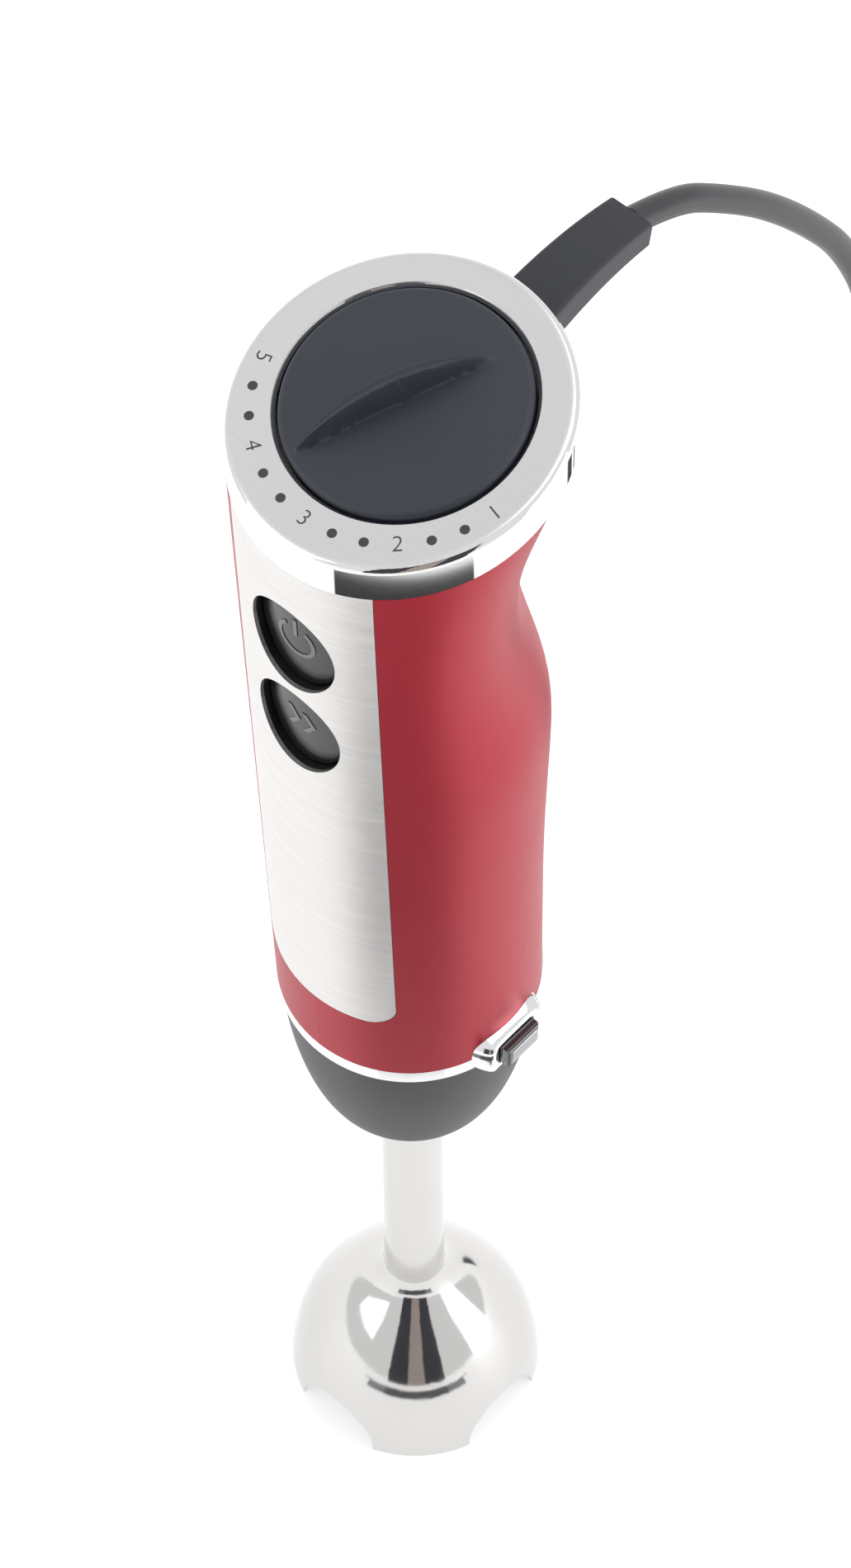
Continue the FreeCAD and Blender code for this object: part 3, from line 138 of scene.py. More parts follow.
def curve_line(curve):
    """The points that the curve's centre line really follows."""
    depth, curve.data.bevel_depth = curve.data.bevel_depth, 0.0
    bpy.context.view_layer.update()
    mesh = bpy.data.meshes.new_from_object(curve.evaluated_get(bpy.context.evaluated_depsgraph_get()))
    curve.data.bevel_depth = depth
    return [v.co.copy() for v in mesh.vertices]


cord = smooth_tube("mains_lead", route, CORD_D / 2)
lead_line = curve_line(cord)
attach(cord, "handle")
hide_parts("mains_cord", "cord_coil")

# %% [markdown]
# ## Modelling by hand, in code
# A new piece starts as a primitive or a flat drawing, is shaped in edit mode and gets its modifiers applied.
# These helpers do what the hand does in the viewport: select, apply, join, and let the piece ride along.


# %% Hand tools
def only(*objects):
    """Select these objects and nothing else; the first one is active."""
    bpy.ops.object.select_all(action="DESELECT")
    for chosen in objects:
        chosen.select_set(True)
    bpy.context.view_layer.objects.active = objects[0]


def settle(piece):
    """Put the object's place, turn and scale into its mesh."""
    only(piece)
    bpy.ops.object.transform_apply(location=True, rotation=True, scale=True)
    return piece


def apply_modifier(piece, kind, **settings):
    """Add one modifier and apply it."""
    only(piece)
    modifier = piece.modifiers.new(kind.lower(), kind)
    for key, value in settings.items():
        setattr(modifier, key, value)
    bpy.ops.object.modifier_apply(modifier=modifier.name)


def outwards(piece):
    """Merge doubles and turn every face outwards."""
    only(piece)
    bpy.ops.object.mode_set(mode="EDIT")
    bpy.ops.mesh.select_all(action="SELECT")
    bpy.ops.mesh.remove_doubles(threshold=1e-6)
    bpy.ops.mesh.normals_make_consistent(inside=False)
    bpy.ops.object.mode_set(mode="OBJECT")


def smooth(piece, degrees=35):
    """Shade the piece smoothly, except over edges sharper than this."""
    only(piece)
    bpy.ops.object.shade_smooth_by_angle(angle=math.radians(degrees))


def joined(name, parts):
    """One object out of several."""
    only(*parts)
    if len(parts) > 1:
        bpy.ops.object.join()
    made = bpy.context.view_layer.objects.active
    made.name = name
    return made


def flat_mesh(name, corners, faces):
    """An object made of corners and the faces between them."""
    data = bpy.data.meshes.new(name)
    data.from_pydata(corners, [], faces)
    made = bpy.data.objects.new(name, data)
    bpy.context.collection.objects.link(made)
    return made


def step_up(value, start, end):
    """0 before start, 1 after end, smooth between."""
    share = min(1.0, max(0.0, (value - start) / (end - start)))
    return share * share * (3 - 2 * share)


def squared(value, sharpness):
    """A sine or cosine with its sign kept, pushed towards a square wave."""
    return math.copysign(abs(value) ** sharpness, value)


def place(piece, body, material, stands_for=()):
    """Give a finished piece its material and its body."""
    piece.data.materials.clear()
    piece.data.materials.append(material)
    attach(piece, body)
    if stands_for:
        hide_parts(*stands_for)
    return piece


# %% [markdown]
# ## Writing finishes as sums
# A finish is a principled shader with a few procedural nodes. `Wire` wraps a socket so that plain Python sums
# such as `0.3 + grain * 0.2` add Math nodes, and `Finish.node` adds any other node.


# %% Shader helpers
class Wire:
    """A value inside a finish; sums on it add Math nodes."""

    def __init__(self, finish, socket):
        self.finish, self.socket = finish, socket

    def math(self, operation, first, second):
        made = self.finish.node("ShaderNodeMath", {"operation": operation}, {0: first, 1: second})
        return Wire(self.finish, made.outputs[0])

    def __add__(self, other):
        return self.math("ADD", self, other)

    def __sub__(self, other):
        return self.math("SUBTRACT", self, other)

    def __mul__(self, other):
        return self.math("MULTIPLY", self, other)

    def __gt__(self, other):
        return self.math("GREATER_THAN", self, other)

    __radd__ = __add__


class Finish:
    """A principled material with helpers for its nodes."""

    def __init__(self, name, colour, roughness, metallic=0.0, **sockets):
        self.material = bpy.data.materials.new(name)
        self.material.use_nodes = True
        self.tree = self.material.node_tree
        self.shader = self.tree.nodes["Principled BSDF"]
        self.set("Base Color", (*colour, 1.0))
        self.set("Roughness", roughness)
        self.set("Metallic", metallic)
        for key, value in sockets.items():
            self.set(key.replace("_", " "), value)

    def set(self, socket, value):
        """Feed one of the shader's sockets with a number, a colour or a wire."""
        if isinstance(value, Wire):
            self.tree.links.new(value.socket, self.shader.inputs[socket])
        else:
            self.shader.inputs[socket].default_value = value

    def node(self, kind, settings=None, values=None):
        """Add a node, set it up and feed its sockets with numbers or wires."""
        made = self.tree.nodes.new(kind)
        for key, value in (settings or {}).items():
            setattr(made, key, value)
        for key, value in (values or {}).items():
            if isinstance(value, Wire):
                self.tree.links.new(value.socket, made.inputs[key])
            else:
                made.inputs[key].default_value = value
        return made

    def wire(self, node, output=0):
        """One output of a node, ready for sums."""
        return Wire(self, node.outputs[output])

    def spot(self):
        """The place on the object, in its own metres."""
        return self.wire(self.node("ShaderNodeTexCoord"), "Object")

    def noise(self, scale, detail=2.0, roughness=0.5, stretch=(1, 1, 1)):
        """Soft noise; stretch packs it closer along an axis."""
        stretched = self.node("ShaderNodeMapping", {}, {"Vector": self.spot(), "Scale": stretch})
        made = self.node("ShaderNodeTexNoise", {}, {"Vector": self.wire(stretched), "Scale": scale,
                                                    "Detail": detail, "Roughness": roughness})
        return self.wire(made)

    def bump(self, height, strength, distance):
        """Raise the surface by a wire, at most by the distance in metres."""
        made = self.node("ShaderNodeBump", {}, {"Height": height, "Strength": strength, "Distance": distance})
        self.set("Normal", self.wire(made))

    def blend(self, factor, first, second):
        """A colour between two, by a wire from 0 to 1."""
        made = self.node("ShaderNodeMix", {"data_type": "RGBA"}, {"Factor": factor})
        for socket, colour in zip([s for s in made.inputs if s.type == "RGBA"], (first, second)):
            socket.default_value = (*colour, 1.0)
        return Wire(self, [s for s in made.outputs if s.type == "RGBA"][0])


def plain_finish(name, colour, roughness, metallic=0.0, grain=2500.0, depth=0.15, mottle=0.08, **sockets):
    """A moulded or machined finish: fine grain in the surface and a slightly uneven gloss and shade."""
    made = Finish(name, colour, roughness, metallic, **sockets)
    cloud = made.noise(90.0, 3.0)
    made.set("Roughness", roughness + (cloud - 0.5) * mottle)
    darker = tuple(c * 0.9 for c in colour)
    lighter = tuple(min(1.0, c * 1.08) for c in colour)
    made.set("Base Color", made.blend(cloud, darker, lighter))
    made.bump(made.noise(grain, 2.0), depth, 0.00005)
    return made


# %% [markdown]
# ## The big finishes
# The shells wear a satin metallic lacquer: metal flakes give it a soft glow, a thin coat gives the highlights.
# The steel plate is brushed from side to side, so its grain is stretched across and fine in height. The dial
# ring is chrome: its top face is satin, its rim a mirror. The leg is mirror-polished steel.

# %% Red lacquer
lacquer = Finish("red_lacquer", (0.47, 0.004, 0.013), 0.4, 0.72, Coat_Weight=0.1, Coat_Roughness=0.35)
flakes = lacquer.noise(5200.0, 1.0)
lacquer.set("Base Color", lacquer.blend(flakes, (0.35, 0.008, 0.022), (0.48, 0.013, 0.034)))
lacquer.set("Roughness", 0.38 + lacquer.noise(40.0, 4.0) * 0.08)
lacquer.bump(lacquer.noise(2600.0, 2.0), 0.12, 0.00004)
print("the lacquer has", len(lacquer.tree.nodes), "nodes")

# %% Brushed plate
brushed = Finish("brushed_plate", (0.74, 0.73, 0.71), 0.3, 1.0, Anisotropic=0.35)
grain = brushed.noise(1.0, 3.0, 0.6, stretch=(70, 70, 5200))
long_grain = brushed.noise(1.0, 2.0, 0.5, stretch=(22, 22, 1500))
streaks = grain * 0.6 + long_grain * 0.4
brushed.set("Base Color", brushed.blend(streaks, (0.58, 0.565, 0.55), (0.98, 0.965, 0.95)))
brushed.set("Roughness", 0.26 + streaks * 0.26)
brushed.bump(streaks, 0.35, 0.00006)
print("the brushed plate has", len(brushed.tree.nodes), "nodes")

# %% Dial chrome
HEAD = Vector((0, 1.2, 390)) * MM  # the middle of the dial's face
TILT = math.radians(13)  # its lean towards the front
FACE_DEPTH = -0.25 * MM  # what lies higher than this belongs to the face
head_frame = Matrix.Translation(HEAD) @ Matrix.Rotation(TILT, 4, "X")
dial_chrome = Finish("dial_chrome", (0.82, 0.82, 0.82), 0.1, 1.0)
split = dial_chrome.node("ShaderNodeSeparateXYZ", {}, {"Vector": dial_chrome.spot()})
up = dial_chrome.wire(split, "Z") - HEAD.z
back = dial_chrome.wire(split, "Y") - HEAD.y
on_face = up * math.cos(TILT) - back * math.sin(TILT) > FACE_DEPTH
hairline = dial_chrome.noise(1.0, 3.0, 0.6, stretch=(60, 3800, 3800))
dial_chrome.set("Roughness", 0.045 + on_face * (0.13 + hairline * 0.12))
dial_chrome.set("Base Color", dial_chrome.blend(on_face * hairline, (0.84, 0.84, 0.84), (0.74, 0.735, 0.73)))
dial_chrome.bump(on_face * hairline, 0.15, 0.00003)
print("the dial chrome has", len(dial_chrome.tree.nodes), "nodes")

# %% Mirror steel and trim chrome
mirror_steel = Finish("mirror_steel", (0.66, 0.652, 0.64), 0.07, 1.0)
mirror_steel.set("Roughness", 0.05 + mirror_steel.noise(60.0, 4.0, 0.6) * 0.07)
mirror_steel.bump(mirror_steel.noise(25.0, 2.0), 0.06, 0.0004)
trim_chrome = Finish("trim_chrome", (0.85, 0.85, 0.86), 0.06, 1.0)
trim_chrome.set("Roughness", 0.04 + trim_chrome.noise(120.0, 3.0) * 0.06)
print("mirror steel:", len(mirror_steel.tree.nodes), "nodes; trim chrome:", len(trim_chrome.tree.nodes))

# %% Moulded finishes
cup_finish = plain_finish("cup_soft_grey", (0.040, 0.040, 0.046), 0.46, grain=3000.0, depth=0.2)
knob_finish = plain_finish("knob_soft_touch", (0.034, 0.038, 0.053), 0.5, grain=4200.0, depth=0.22, mottle=0.06)
boot_finish = plain_finish("boot_rubber", (0.030, 0.032, 0.040), 0.5, grain=1800.0, depth=0.25)
key_finish = plain_finish("key_gloss", (0.010, 0.010, 0.012), 0.2, grain=900.0, depth=0.05)
frame_finish = plain_finish("well_black", (0.006, 0.006, 0.007), 0.38, grain=1500.0, depth=0.1)
thumb_finish = plain_finish("thumb_gloss", (0.008, 0.008, 0.009), 0.24, grain=1600.0, depth=0.06,
                            Coat_Weight=1.0, Coat_Roughness=0.12)
lead_finish = plain_finish("lead_rubber", (0.035, 0.036, 0.040), 0.36, grain=2600.0, depth=0.12)
print("outer finishes so far:", len(bpy.data.materials))

# %% [markdown]
# ## Finishes inside the handle
# Copper, laminations, nylon and brass hardly show, but whoever takes the shells off sees them, so each gets
# a simple finish of its own.

# %% Inner finishes
INNER = {
    "machined_steel": ((0.55, 0.55, 0.55), 0.28, 1.0),
    "core_steel": ((0.16, 0.16, 0.17), 0.45, 0.9),
    "copper": ((0.62, 0.24, 0.11), 0.3, 1.0),
    "bronze": ((0.50, 0.34, 0.16), 0.42, 1.0),
    "rubber_black": ((0.02, 0.02, 0.02), 0.6, 0.0),
    "nylon_white": ((0.66, 0.65, 0.60), 0.42, 0.0),
    "component_black": ((0.025, 0.025, 0.025), 0.4, 0.0),
    "capacitor_yellow": ((0.60, 0.36, 0.03), 0.3, 0.0),
    "board_green": ((0.02, 0.14, 0.05), 0.35, 0.0),
    "heatsink_alu": ((0.60, 0.61, 0.63), 0.35, 1.0),
    "brush_brass": ((0.62, 0.45, 0.15), 0.3, 1.0),
}
finishes = {slot: plain_finish("inner_" + slot, *look).material for slot, look in INNER.items()}
finishes.update({
    "red_shell": lacquer.material, "brushed_plate": brushed.material, "chrome_trim": trim_chrome.material,
    "soft_black": cup_finish.material, "black_gloss": key_finish.material,
    "polished_steel": mirror_steel.material, "cord_rubber": lead_finish.material,
})
SPECIAL = {
    "dial_ring": dial_chrome.material, "speed_knob": knob_finish.material, "cord_boot": boot_finish.material,
    "button_frame": frame_finish.material, "release_button_left": thumb_finish.material,
    "release_button_right": thumb_finish.material,
}
for entry in frame["record"]["subparts"]:
    node = nodes[entry["node"]]
    node.data.materials.clear()
    node.data.materials.append(SPECIAL.get(entry["node"], finishes[entry["material_slot"]]))
cord.data.materials.append(lead_finish.material)
print("every one of", len(nodes), "nodes has its finish")

# %% [markdown]
# ## The soft knob
# The real knob is one soft-touch moulding: a shallow dome with a tall finger ridge, steep on the side that the
# finger pushes and sloping on the other. A disc is inset again and again into fine rings, with its spokes in
# line with the ridge, and each point is then lifted to the dome's and the ridge's height.

# %% Knob blank
KNOB_R, RIM = 24.7, 1.4  # outer radius, and radius of the rounded edge
FINE_RINGS, FINE_STEP, WIDE_RINGS, WIDE_STEP = 10, 0.14, 50, 0.46
SKIRT, FLOOR_SHRINK = 3.6, 0.8  # the wall under the edge, and how far the floor is drawn in
bpy.ops.object.select_all(action="DESELECT")
bpy.ops.mesh.primitive_circle_add(vertices=320, radius=KNOB_R, fill_type="NGON")
knob = bpy.context.object
knob.name = "soft_knob"
bpy.ops.object.mode_set(mode="EDIT")
bpy.ops.mesh.select_mode(type="FACE")
bpy.ops.mesh.select_all(action="SELECT")
for step in [FINE_STEP] * FINE_RINGS + [WIDE_STEP] * WIDE_RINGS:
    bpy.ops.mesh.inset(thickness=step)
bpy.ops.mesh.poke()
bpy.ops.mesh.select_mode(type="EDGE")
bpy.ops.mesh.select_all(action="DESELECT")
bpy.ops.mesh.select_non_manifold(extend=False, use_wire=False, use_boundary=True, use_multi_face=False,
                                 use_non_contiguous=False, use_verts=False)
bpy.ops.mesh.extrude_region_move(TRANSFORM_OT_translate={"value": (0, 0, -SKIRT)})
bpy.ops.mesh.extrude_region_move(TRANSFORM_OT_translate={"value": (0, 0, -0.001)})
bpy.ops.transform.resize(value=(FLOOR_SHRINK, FLOOR_SHRINK, 1.0))
bpy.ops.mesh.edge_face_add()
bpy.ops.object.mode_set(mode="OBJECT")
print("the knob's blank has", len(knob.data.polygons), "faces")

# %% Knob shape
RIDGE_TURN = math.radians(64.7)
RIDGE_FROM, RIDGE_TO, RIDGE_H, RIDGE_BULGE, RIDGE_LEAST = -23.4, 18.9, 7.0, 5.6, 0.25
CREST_POWER, SLOPE_POWER = 0.85, 1.15  # how blunt the ridge's ends are, and how hollow its slope
DOME_TOP, DOME_DROP, EDGE_LOW = 2.2, 1.4, -0.6
WALL_FROM, WALL_TO = -0.95, -0.15  # the steep side, across the ridge's line


def knob_height(x, y):
    """Height of the knob's skin over the dial face, in millimetres."""
    r = math.hypot(x, y)
    if r > KNOB_R - RIM:
        dome = EDGE_LOW + RIM * math.sqrt(max(0.0, 1 - ((r - KNOB_R + RIM) / RIM) ** 2))
    else:
        dome = DOME_TOP - DOME_DROP * (r / (KNOB_R - RIM)) ** 2
    along = x * math.cos(RIDGE_TURN) + y * math.sin(RIDGE_TURN)
    across = y * math.cos(RIDGE_TURN) - x * math.sin(RIDGE_TURN)
    middle, half = (RIDGE_FROM + RIDGE_TO) / 2, (RIDGE_TO - RIDGE_FROM) / 2
    belly = 1 - ((along - middle) / half) ** 2
    if belly <= 0:
        return dome
    crest = RIDGE_H * belly ** CREST_POWER
    far = RIDGE_BULGE * belly + RIDGE_LEAST
    wall = step_up(across, WALL_FROM, WALL_TO)
    slope = 1 - min(1.0, max(0.0, across / far))
    return dome + crest * wall * slope ** SLOPE_POWER


for vertex in knob.data.vertices:
    if vertex.co.z > -1:
        vertex.co.z = knob_height(vertex.co.x, vertex.co.y)
knob.data.transform(head_frame @ Matrix.Scale(MM, 4))
outwards(knob)
smooth(knob, 60)
place(knob, "speed_dial", knob_finish.material, ["speed_knob"])
print("the knob has", len(knob.data.polygons), "faces")

# %% [markdown]
# ## Numbers on the dial
# Thin dark figures and dots are printed on the ring's top face, 37 degrees from figure to figure with two dots
# between them. A figure is a text object with a hair of thickness, turned into a mesh and set on the tilted
# face with its head towards the middle.

# %% Dial marks
MARK_R = 30.1 * MM
FIRST_FIGURE, FIGURE_STEP = 75.5, 37.0  # degrees
FIGURE_SIZE, FIGURE_THIN, FIGURE_RISE = 4.7 * MM, -0.06 * MM, 0.03 * MM
DOT_R, DOT_RISE, DOT_EDGE = 1.0 * MM, 0.04 * MM, 0.08 * MM


def on_dial(mark, degrees, lift):
    """Lay a mark on the ring's face, its head towards the middle."""
    turn = Matrix.Rotation(math.radians(degrees), 4, "Z")
    mark.matrix_world = head_frame @ turn @ Matrix.Translation((0, -MARK_R, lift))
    return settle(mark)


def figure_mark(number, degrees):
    """One printed figure."""
    bpy.ops.object.select_all(action="DESELECT")
    bpy.ops.object.text_add()
    figure = bpy.context.object
    figure.data.body = str(number)
    figure.data.align_x, figure.data.align_y = "CENTER", "CENTER"
    figure.data.size, figure.data.offset, figure.data.extrude = FIGURE_SIZE, FIGURE_THIN, FIGURE_RISE
    bpy.ops.object.convert(target="MESH")
    return on_dial(figure, degrees, 0.01 * MM)


def dot_mark(degrees):
    """One printed dot with a softened edge."""
    bpy.ops.object.select_all(action="DESELECT")
    bpy.ops.mesh.primitive_circle_add(vertices=28, radius=DOT_R, fill_type="NGON")
    dot = bpy.context.object
    bpy.ops.object.mode_set(mode="EDIT")
    bpy.ops.mesh.extrude_region_move(TRANSFORM_OT_translate={"value": (0, 0, DOT_RISE)})
    bpy.ops.mesh.inset(thickness=DOT_EDGE, depth=0.01 * MM)
    bpy.ops.object.mode_set(mode="OBJECT")
    return on_dial(dot, degrees, 0)


# %% Dial print
ink = plain_finish("dial_ink", (0.05, 0.05, 0.055), 0.45, grain=3000.0, depth=0.1)
marks = [figure_mark(1, FIRST_FIGURE)]
for number in range(2, 6):
    degrees = FIRST_FIGURE - FIGURE_STEP * (number - 1)
    marks += [dot_mark(degrees + FIGURE_STEP * 2 / 3), dot_mark(degrees + FIGURE_STEP / 3)]
    marks.append(figure_mark(number, degrees))
dial_print = joined("dial_print", marks)
outwards(dial_print)
place(dial_print, "handle", ink.material)
print("the dial carries", len(marks), "marks")

# %% [markdown]
# ## Signs on the keys
# The upper key carries the usual on/off sign: a stroke in an open circle. The lower key, the one for full
# speed, gets two arrowheads. Both are drawn flat in front of the key and pressed onto its curved face.

# %% Sign tools
POWER_Z, TURBO_Z = 346.4, 317.9  # heights of the two signs
DRAWN_Y = -45 * MM  # a plane in front of the keys


def pressed_on(sign, key, rise):
    """Project a flat drawing along Y onto the key's face, then give it thickness."""
    apply_modifier(sign, "SHRINKWRAP", wrap_method="PROJECT", target=nodes[key], use_project_y=True,
                   use_negative_direction=True, use_positive_direction=True, offset=rise)
    apply_modifier(sign, "SOLIDIFY", thickness=0.3 * MM, offset=0.0)


def drawing(corners, faces, height):
    """A flat drawing in front of the keys, from (x, z) corners in millimetres."""
    return flat_mesh("drawing", [(x * MM, DRAWN_Y, (z + height) * MM) for x, z in corners], faces)


def stroke(corners, height):
    """A flat closed outline."""
    return drawing(corners, [list(range(len(corners)))], height)


def open_ring(radius, width, gap_degrees, height, count=30):
    """A flat ring with a gap at its top."""
    start, end = math.radians(90 + gap_degrees), math.radians(450 - gap_degrees)
    arc = [start + (end - start) * k / count for k in range(count + 1)]
    corners = [(r * math.cos(a), r * math.sin(a)) for r in (radius + width, radius) for a in arc]
    faces = [[k, k + 1, count + k + 2, count + k + 1] for k in range(count)]
    return drawing(corners, faces, height)


def divide(sign, cuts):
    """Cut a flat drawing into small faces, so that it can follow the key's curve."""
    only(sign)
    bpy.ops.object.mode_set(mode="EDIT")
    bpy.ops.mesh.select_all(action="SELECT")
    if any(len(face.vertices) > 4 for face in sign.data.polygons):
        bpy.ops.mesh.quads_convert_to_tris()
    bpy.ops.mesh.subdivide(number_cuts=cuts)
    bpy.ops.object.mode_set(mode="OBJECT")


# %% On/off sign
sign_finish = plain_finish("key_sign", (0.16, 0.16, 0.17), 0.3, grain=1500.0, depth=0.05)
bar = stroke([(-0.45, 1.2), (0.45, 1.2), (0.45, 6.4), (-0.45, 6.4)], POWER_Z)
divide(bar, 5)
power_sign = joined("power_sign", [open_ring(3.9, 0.9, 34, POWER_Z), bar])
pressed_on(power_sign, "power_button", 0.02 * MM)
place(power_sign, "power_key", sign_finish.material)
print("the on/off sign has", len(power_sign.data.polygons), "faces")

# %% Arrowheads
heads = []
for shift in (-2.6, 1.4):
    heads.append(stroke([(shift - 1.2, 3.0), (shift, 3.0), (shift + 2.2, 0), (shift, -3.0), (shift - 1.2, -3.0),
                         (shift + 1.0, 0)], TURBO_Z))
turbo_sign = joined("turbo_sign", heads)
divide(turbo_sign, 3)
pressed_on(turbo_sign, "turbo_button", 0.02 * MM)
place(turbo_sign, "turbo_key", sign_finish.material)
print("the arrowheads have", len(turbo_sign.data.polygons), "faces")

# %% [markdown]
# ## A tie round the coil
# A strap of black fabric hook tape goes round the coil's four strands. It is a rounded band, made from a
# circle that is stretched to the bundle's section, given thickness and softened.

# %% Coil tie
TIE_ANGLE = math.radians(160)
TIE_R, BEND_R = 31.1, 31.0  # the strap's place over the strands, and the radius that it is bent round
TIE_HALF_W, TIE_HALF_H, TIE_Z, TIE_LENGTH, TIE_SQUARE = 6.9, 5.85, 6.1, 11, 0.55
bpy.ops.object.select_all(action="DESELECT")
bpy.ops.mesh.primitive_circle_add(vertices=40, radius=1.0, fill_type="NOTHING")
tie = bpy.context.object
tie.name = "coil_tie"
bpy.ops.object.mode_set(mode="EDIT")
bpy.ops.mesh.extrude_region_move(TRANSFORM_OT_translate={"value": (0, 0, 1.0)})
bpy.ops.object.mode_set(mode="OBJECT")
for vertex in tie.data.vertices:
    around = math.atan2(vertex.co.y, vertex.co.x)
    radius = TIE_R + squared(math.cos(around), TIE_SQUARE) * TIE_HALF_W
    high = TIE_Z + squared(math.sin(around), TIE_SQUARE) * TIE_HALF_H
    bend = TIE_ANGLE + (vertex.co.z - 0.5) * TIE_LENGTH / BEND_R
    vertex.co = (COIL_CENTRE + Vector((radius * math.cos(bend), radius * math.sin(bend), high))) * MM
apply_modifier(tie, "SOLIDIFY", thickness=0.5 * MM, offset=-1.0)
apply_modifier(tie, "SUBSURF", levels=1, render_levels=1)
outwards(tie)
smooth(tie, 60)
tape = plain_finish("tie_tape", (0.03, 0.03, 0.032), 0.75, grain=1400.0, depth=0.6)
place(tie, "handle", tape.material)
print("the tie has", len(tie.data.polygons), "faces")

# %% [markdown]
# ## Chrome lips round the release buttons
# Each release button sits in a polished lip that swells into a rounded ear at both ends. A torus is drawn out
# to the window's shape, thickened towards the ears and wrapped round the handle's foot.

# %% Latch lips
LIP_Z, LIP_FLOOR = 191.0, -5.5
WINDOW_Y, WINDOW_Z, EAR_Y, EAR_Z = 5.75, 3.75, 10.6, 6.0
WINDOW_SQUARE, EAR_SQUARE, EAR_FROM = 0.2, 0.55, 5.5
FLAT_REACH, FOOT_R, SKIN = 31.7, 30.2, 0.9  # the flat face, the handle's foot, and how deep the edge dives
LIP_THICK, EAR_SWELL = 0.45, 2.2
RING_R = 0.25  # the torus's small radius; its big one is 1
for side, name in ((1, "latch_lip_left"), (-1, "latch_lip_right")):
    bpy.ops.object.select_all(action="DESELECT")
    bpy.ops.mesh.primitive_torus_add(major_segments=144, minor_segments=24, major_radius=1.0,
                                     minor_radius=RING_R)
    lip = bpy.context.object
    lip.name = name
    for vertex in lip.data.vertices:
        around = math.atan2(vertex.co.y, vertex.co.x)
        share = ((math.hypot(vertex.co.x, vertex.co.y) - 1.0) / RING_R + 1) / 2  # 0 at the window, 1 outside
        up = vertex.co.z / RING_R
        c, s = math.cos(around), math.sin(around)
        y = squared(c, WINDOW_SQUARE) * WINDOW_Y * (1 - share) + squared(c, EAR_SQUARE) * EAR_Y * share
        z = squared(s, WINDOW_SQUARE) * WINDOW_Z * (1 - share) + squared(s, EAR_SQUARE) * EAR_Z * share
        ear = step_up(abs(y), EAR_FROM, EAR_Y + 0.3)
        skin = math.sqrt(FOOT_R ** 2 - y * y) - SKIN
        thick = LIP_THICK + EAR_SWELL * ear * (1 - ear)
        reach = FLAT_REACH + (skin - FLAT_REACH) * share ** 3 + up * thick
        vertex.co = Vector((side * reach, y, LIP_Z + max(z, LIP_FLOOR))) * MM
    outwards(lip)
    smooth(lip, 80)
    place(lip, "handle", trim_chrome.material)
    print(name, "has", len(lip.data.polygons), "faces")

# %% [markdown]
# ## Pads for the thumb
# A light satin pad lies on the face of each release button and rides with it.

# %% Thumb pads
PAD_DEPTH, PAD_WIDTH, PAD_HEIGHT, PAD_SUNK = 0.9 * MM, 8.6 * MM, 4.6 * MM, 0.25 * MM
pad_finish = plain_finish("thumb_pad_satin", (0.40, 0.40, 0.42), 0.34, 0.85, grain=1400.0, depth=0.08)
for side, name in ((1, "left"), (-1, "right")):
    low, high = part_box("release_button_" + name)
    face_x = high.x if side > 0 else low.x
    bpy.ops.object.select_all(action="DESELECT")
    bpy.ops.mesh.primitive_cube_add(size=1.0, location=(face_x - side * PAD_SUNK, 0, LIP_Z * MM),
                                    scale=(PAD_DEPTH, PAD_WIDTH, PAD_HEIGHT))
    pad = settle(bpy.context.object)
    pad.name = "thumb_pad_" + name
    apply_modifier(pad, "BEVEL", width=0.42 * MM, segments=4)
    smooth(pad)
    place(pad, "release_" + name, pad_finish.material)
    print(pad.name, "stands", round((PAD_DEPTH / 2 - PAD_SUNK) / MM, 1), "mm proud of its button")

# %% [markdown]
# ## The plug's grip
# The plug is a flat two-pin body. Four ribs on each flat side give the fingers a hold.

# %% Plug ribs
plug_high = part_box("mains_plug")[1]
PLUG_X, PLUG_THICK = 26 * MM, 13.9 * MM
FIRST_RIB, RIB_STEP = 5 * MM, 3.4 * MM
RIB_SIZE = (22 * MM, 1.4 * MM, 0.8 * MM)
ribs = []
for z in (plug_high.z - PLUG_THICK, plug_high.z - 0.1 * MM):
    for step in range(4):
        y = plug_high.y - FIRST_RIB - RIB_STEP * step
        bpy.ops.object.select_all(action="DESELECT")
        bpy.ops.mesh.primitive_cube_add(size=1.0, location=(PLUG_X, y, z), scale=RIB_SIZE)
        rib = settle(bpy.context.object)
        apply_modifier(rib, "BEVEL", width=0.35 * MM, segments=3)
        ribs.append(rib)
plug_ribs = joined("plug_ribs", ribs)
smooth(plug_ribs)
place(plug_ribs, "handle", lead_finish.material)
print("the plug has", len(ribs), "ribs")

# %% [markdown]

# %% [markdown]
# ## The studio
# Everything round the mixer is white: a pale table that also glows a little, a white sky and three soft
# lamps. Polished pieces need something to mirror, so grey cards lie on the table round the foot, a bright one
# hangs above and two stand behind the camera. No camera sees the cards themselves, only the faint shade that
# they leave on the table.


# %% Table
def stage_look(name, colour, glow=0.0, roughness=0.6):
    """A plain look for things of the studio, which may glow."""
    look = Finish(name + "_look", colour, roughness)
    look.set("Emission Color", (*colour, 1.0))
    look.set("Emission Strength", glow)
    return look.material


def only_mirrored(card):
    """A card that the polished parts mirror, and that no camera sees."""
    card.visible_camera = False


bpy.ops.object.select_all(action="DESELECT")
bpy.ops.mesh.primitive_plane_add(size=12.0, location=(0, 0, -0.4 * MM))
table = bpy.context.object
table.name = "table"
table.data.materials.append(stage_look("table", (0.62, 0.62, 0.62), glow=0.95))
print("the table lies", round(-table.location.z / MM, 1), "mm under the guard's rim")

# %% Cards on the table
toward_camera = Vector((camera.location.x, camera.location.y, 0)).normalized()
ARC_STEPS = 32


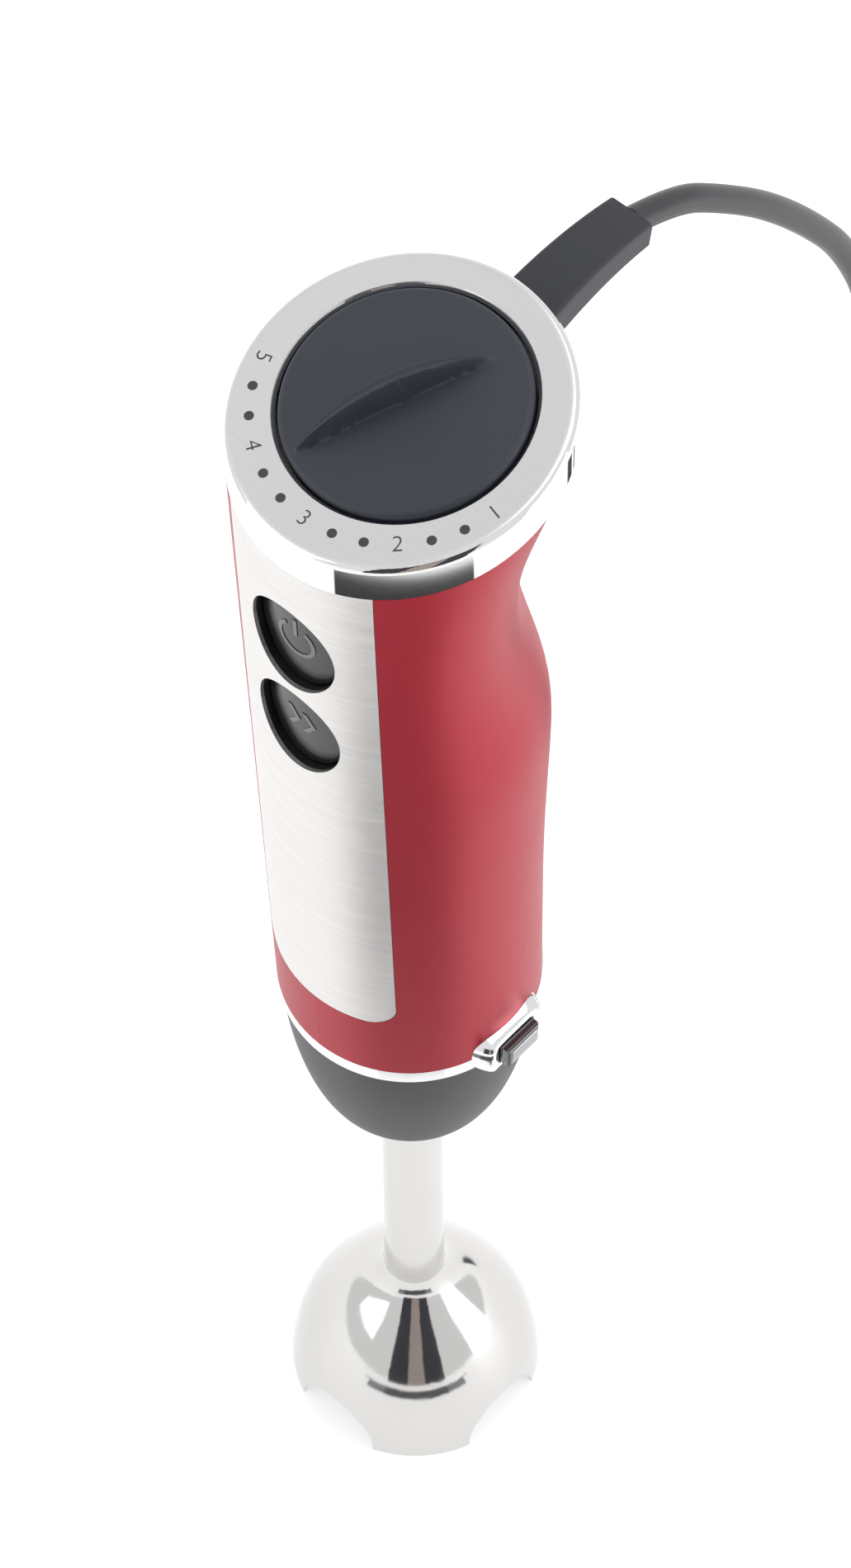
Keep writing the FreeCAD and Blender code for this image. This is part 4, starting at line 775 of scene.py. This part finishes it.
def floor_arc(name, inner, outer, half_angle, shade):
    """A strip on the table, bent round the mixer on the camera's side; wider ones lie lower."""
    middle = math.atan2(toward_camera.y, toward_camera.x)
    turns = [middle + math.radians(half_angle) * (2 * k / ARC_STEPS - 1) for k in range(ARC_STEPS + 1)]
    height = 2 * MM - half_angle * 0.02 * MM
    corners = [(r * math.cos(a), r * math.sin(a), height) for r in (inner, outer) for a in turns]
    faces = [[k, k + 1, k + ARC_STEPS + 2, k + ARC_STEPS + 1] for k in range(ARC_STEPS)]
    card = flat_mesh(name, corners, faces)
    card.data.materials.append(stage_look(name, (shade, shade, shade * 1.05)))
    only_mirrored(card)


floor_arc("body_card", 0.142, 0.282, 26, 0.07)
floor_arc("body_card_edge", 0.150, 0.276, 40, 0.22)
floor_arc("rim_card", 0.292, 0.313, 44, 0.004)
print("three cards lie on the table")

# %% [markdown]
# The bright card hangs where the dial's polished face mirrors it. Clouds in its glow keep the face from
# looking flat.

# %% Bright card
SKY_FACING = (-0.423, 0.064, 0.903)
bpy.ops.object.select_all(action="DESELECT")
bpy.ops.mesh.primitive_plane_add(size=1.3, location=(-0.52, 0.06, 1.45))
sky_card = bpy.context.object
sky_card.name = "sky_card"
sky_card.rotation_euler = Vector(SKY_FACING).to_track_quat("Z", "Y").to_euler()
cloudy = Finish("sky_card_look", (0.02, 0.02, 0.02), 0.9)
clouds = cloudy.noise(2.6, 2.0, 0.5)
cloudy.set("Emission Color", cloudy.blend(clouds, (0.45, 0.45, 0.46), (1.0, 1.0, 1.0)))
cloudy.set("Emission Strength", 1.05)
sky_card.data.materials.append(cloudy.material)
only_mirrored(sky_card)
print("the bright card hangs at", round(sky_card.location.z, 2), "m")

# %% [markdown]
# The guard's dome mirrors two standing cards as a dark fan with a paler rib in it.


# %% Standing cards
def standing_card(name, away, half_width, height, colour):
    """An upright card behind the camera, facing the mixer."""
    foot = toward_camera * away
    side = Vector((-toward_camera.y, toward_camera.x, 0)) * half_width
    up = Vector((0, 0, height))
    card = flat_mesh(name, [foot - side, foot + side, foot + side + up, foot - side + up], [[0, 1, 2, 3]])
    card.data.materials.append(stage_look(name, colour, roughness=0.9))
    only_mirrored(card)


standing_card("dark_card", 1.30, 0.62, 1.45, (0.035, 0.037, 0.045))
standing_card("pale_card", 1.27, 0.17, 1.30, (0.34, 0.29, 0.26))
print("two cards stand behind the camera")

# %% [markdown]
# ## White sky and three lamps
# The sky gives the even light of a white room. The lamps add the soft highlights on the red shell and the
# steel.

# %% Sky
world = bpy.data.worlds.new("white_studio")
bpy.context.scene.world = world
world.use_nodes = True
sky = world.node_tree.nodes["Background"]
sky.inputs["Color"].default_value = (1.0, 1.0, 1.0, 1.0)
sky.inputs["Strength"].default_value = 0.86
print("the sky's strength is", round(sky.inputs["Strength"].default_value, 2))


# %% Lamps
def lamp(name, location, target, size, power):
    """A soft rectangular white lamp that looks at a point."""
    data = bpy.data.lights.new(name, "AREA")
    data.shape = "RECTANGLE"
    data.size, data.size_y = size
    data.energy = power
    made = bpy.data.objects.new(name, data)
    bpy.context.collection.objects.link(made)
    made.location = location
    made.rotation_euler = (Vector(target) - Vector(location)).to_track_quat("-Z", "Y").to_euler()


lamp("right_softbox", (1.15, 0.55, 0.42), (0, 0, 0.28), (0.7, 0.8), 6.0)
lamp("top_softbox", (0.1, 0.5, 1.7), (0, 0, 0.3), (1.2, 1.2), 3.6)
lamp("front_fill", (-0.6, -1.2, 0.8), (0, 0, 0.25), (1.0, 1.0), 2.8)
print("lamps:", len(bpy.data.lights))
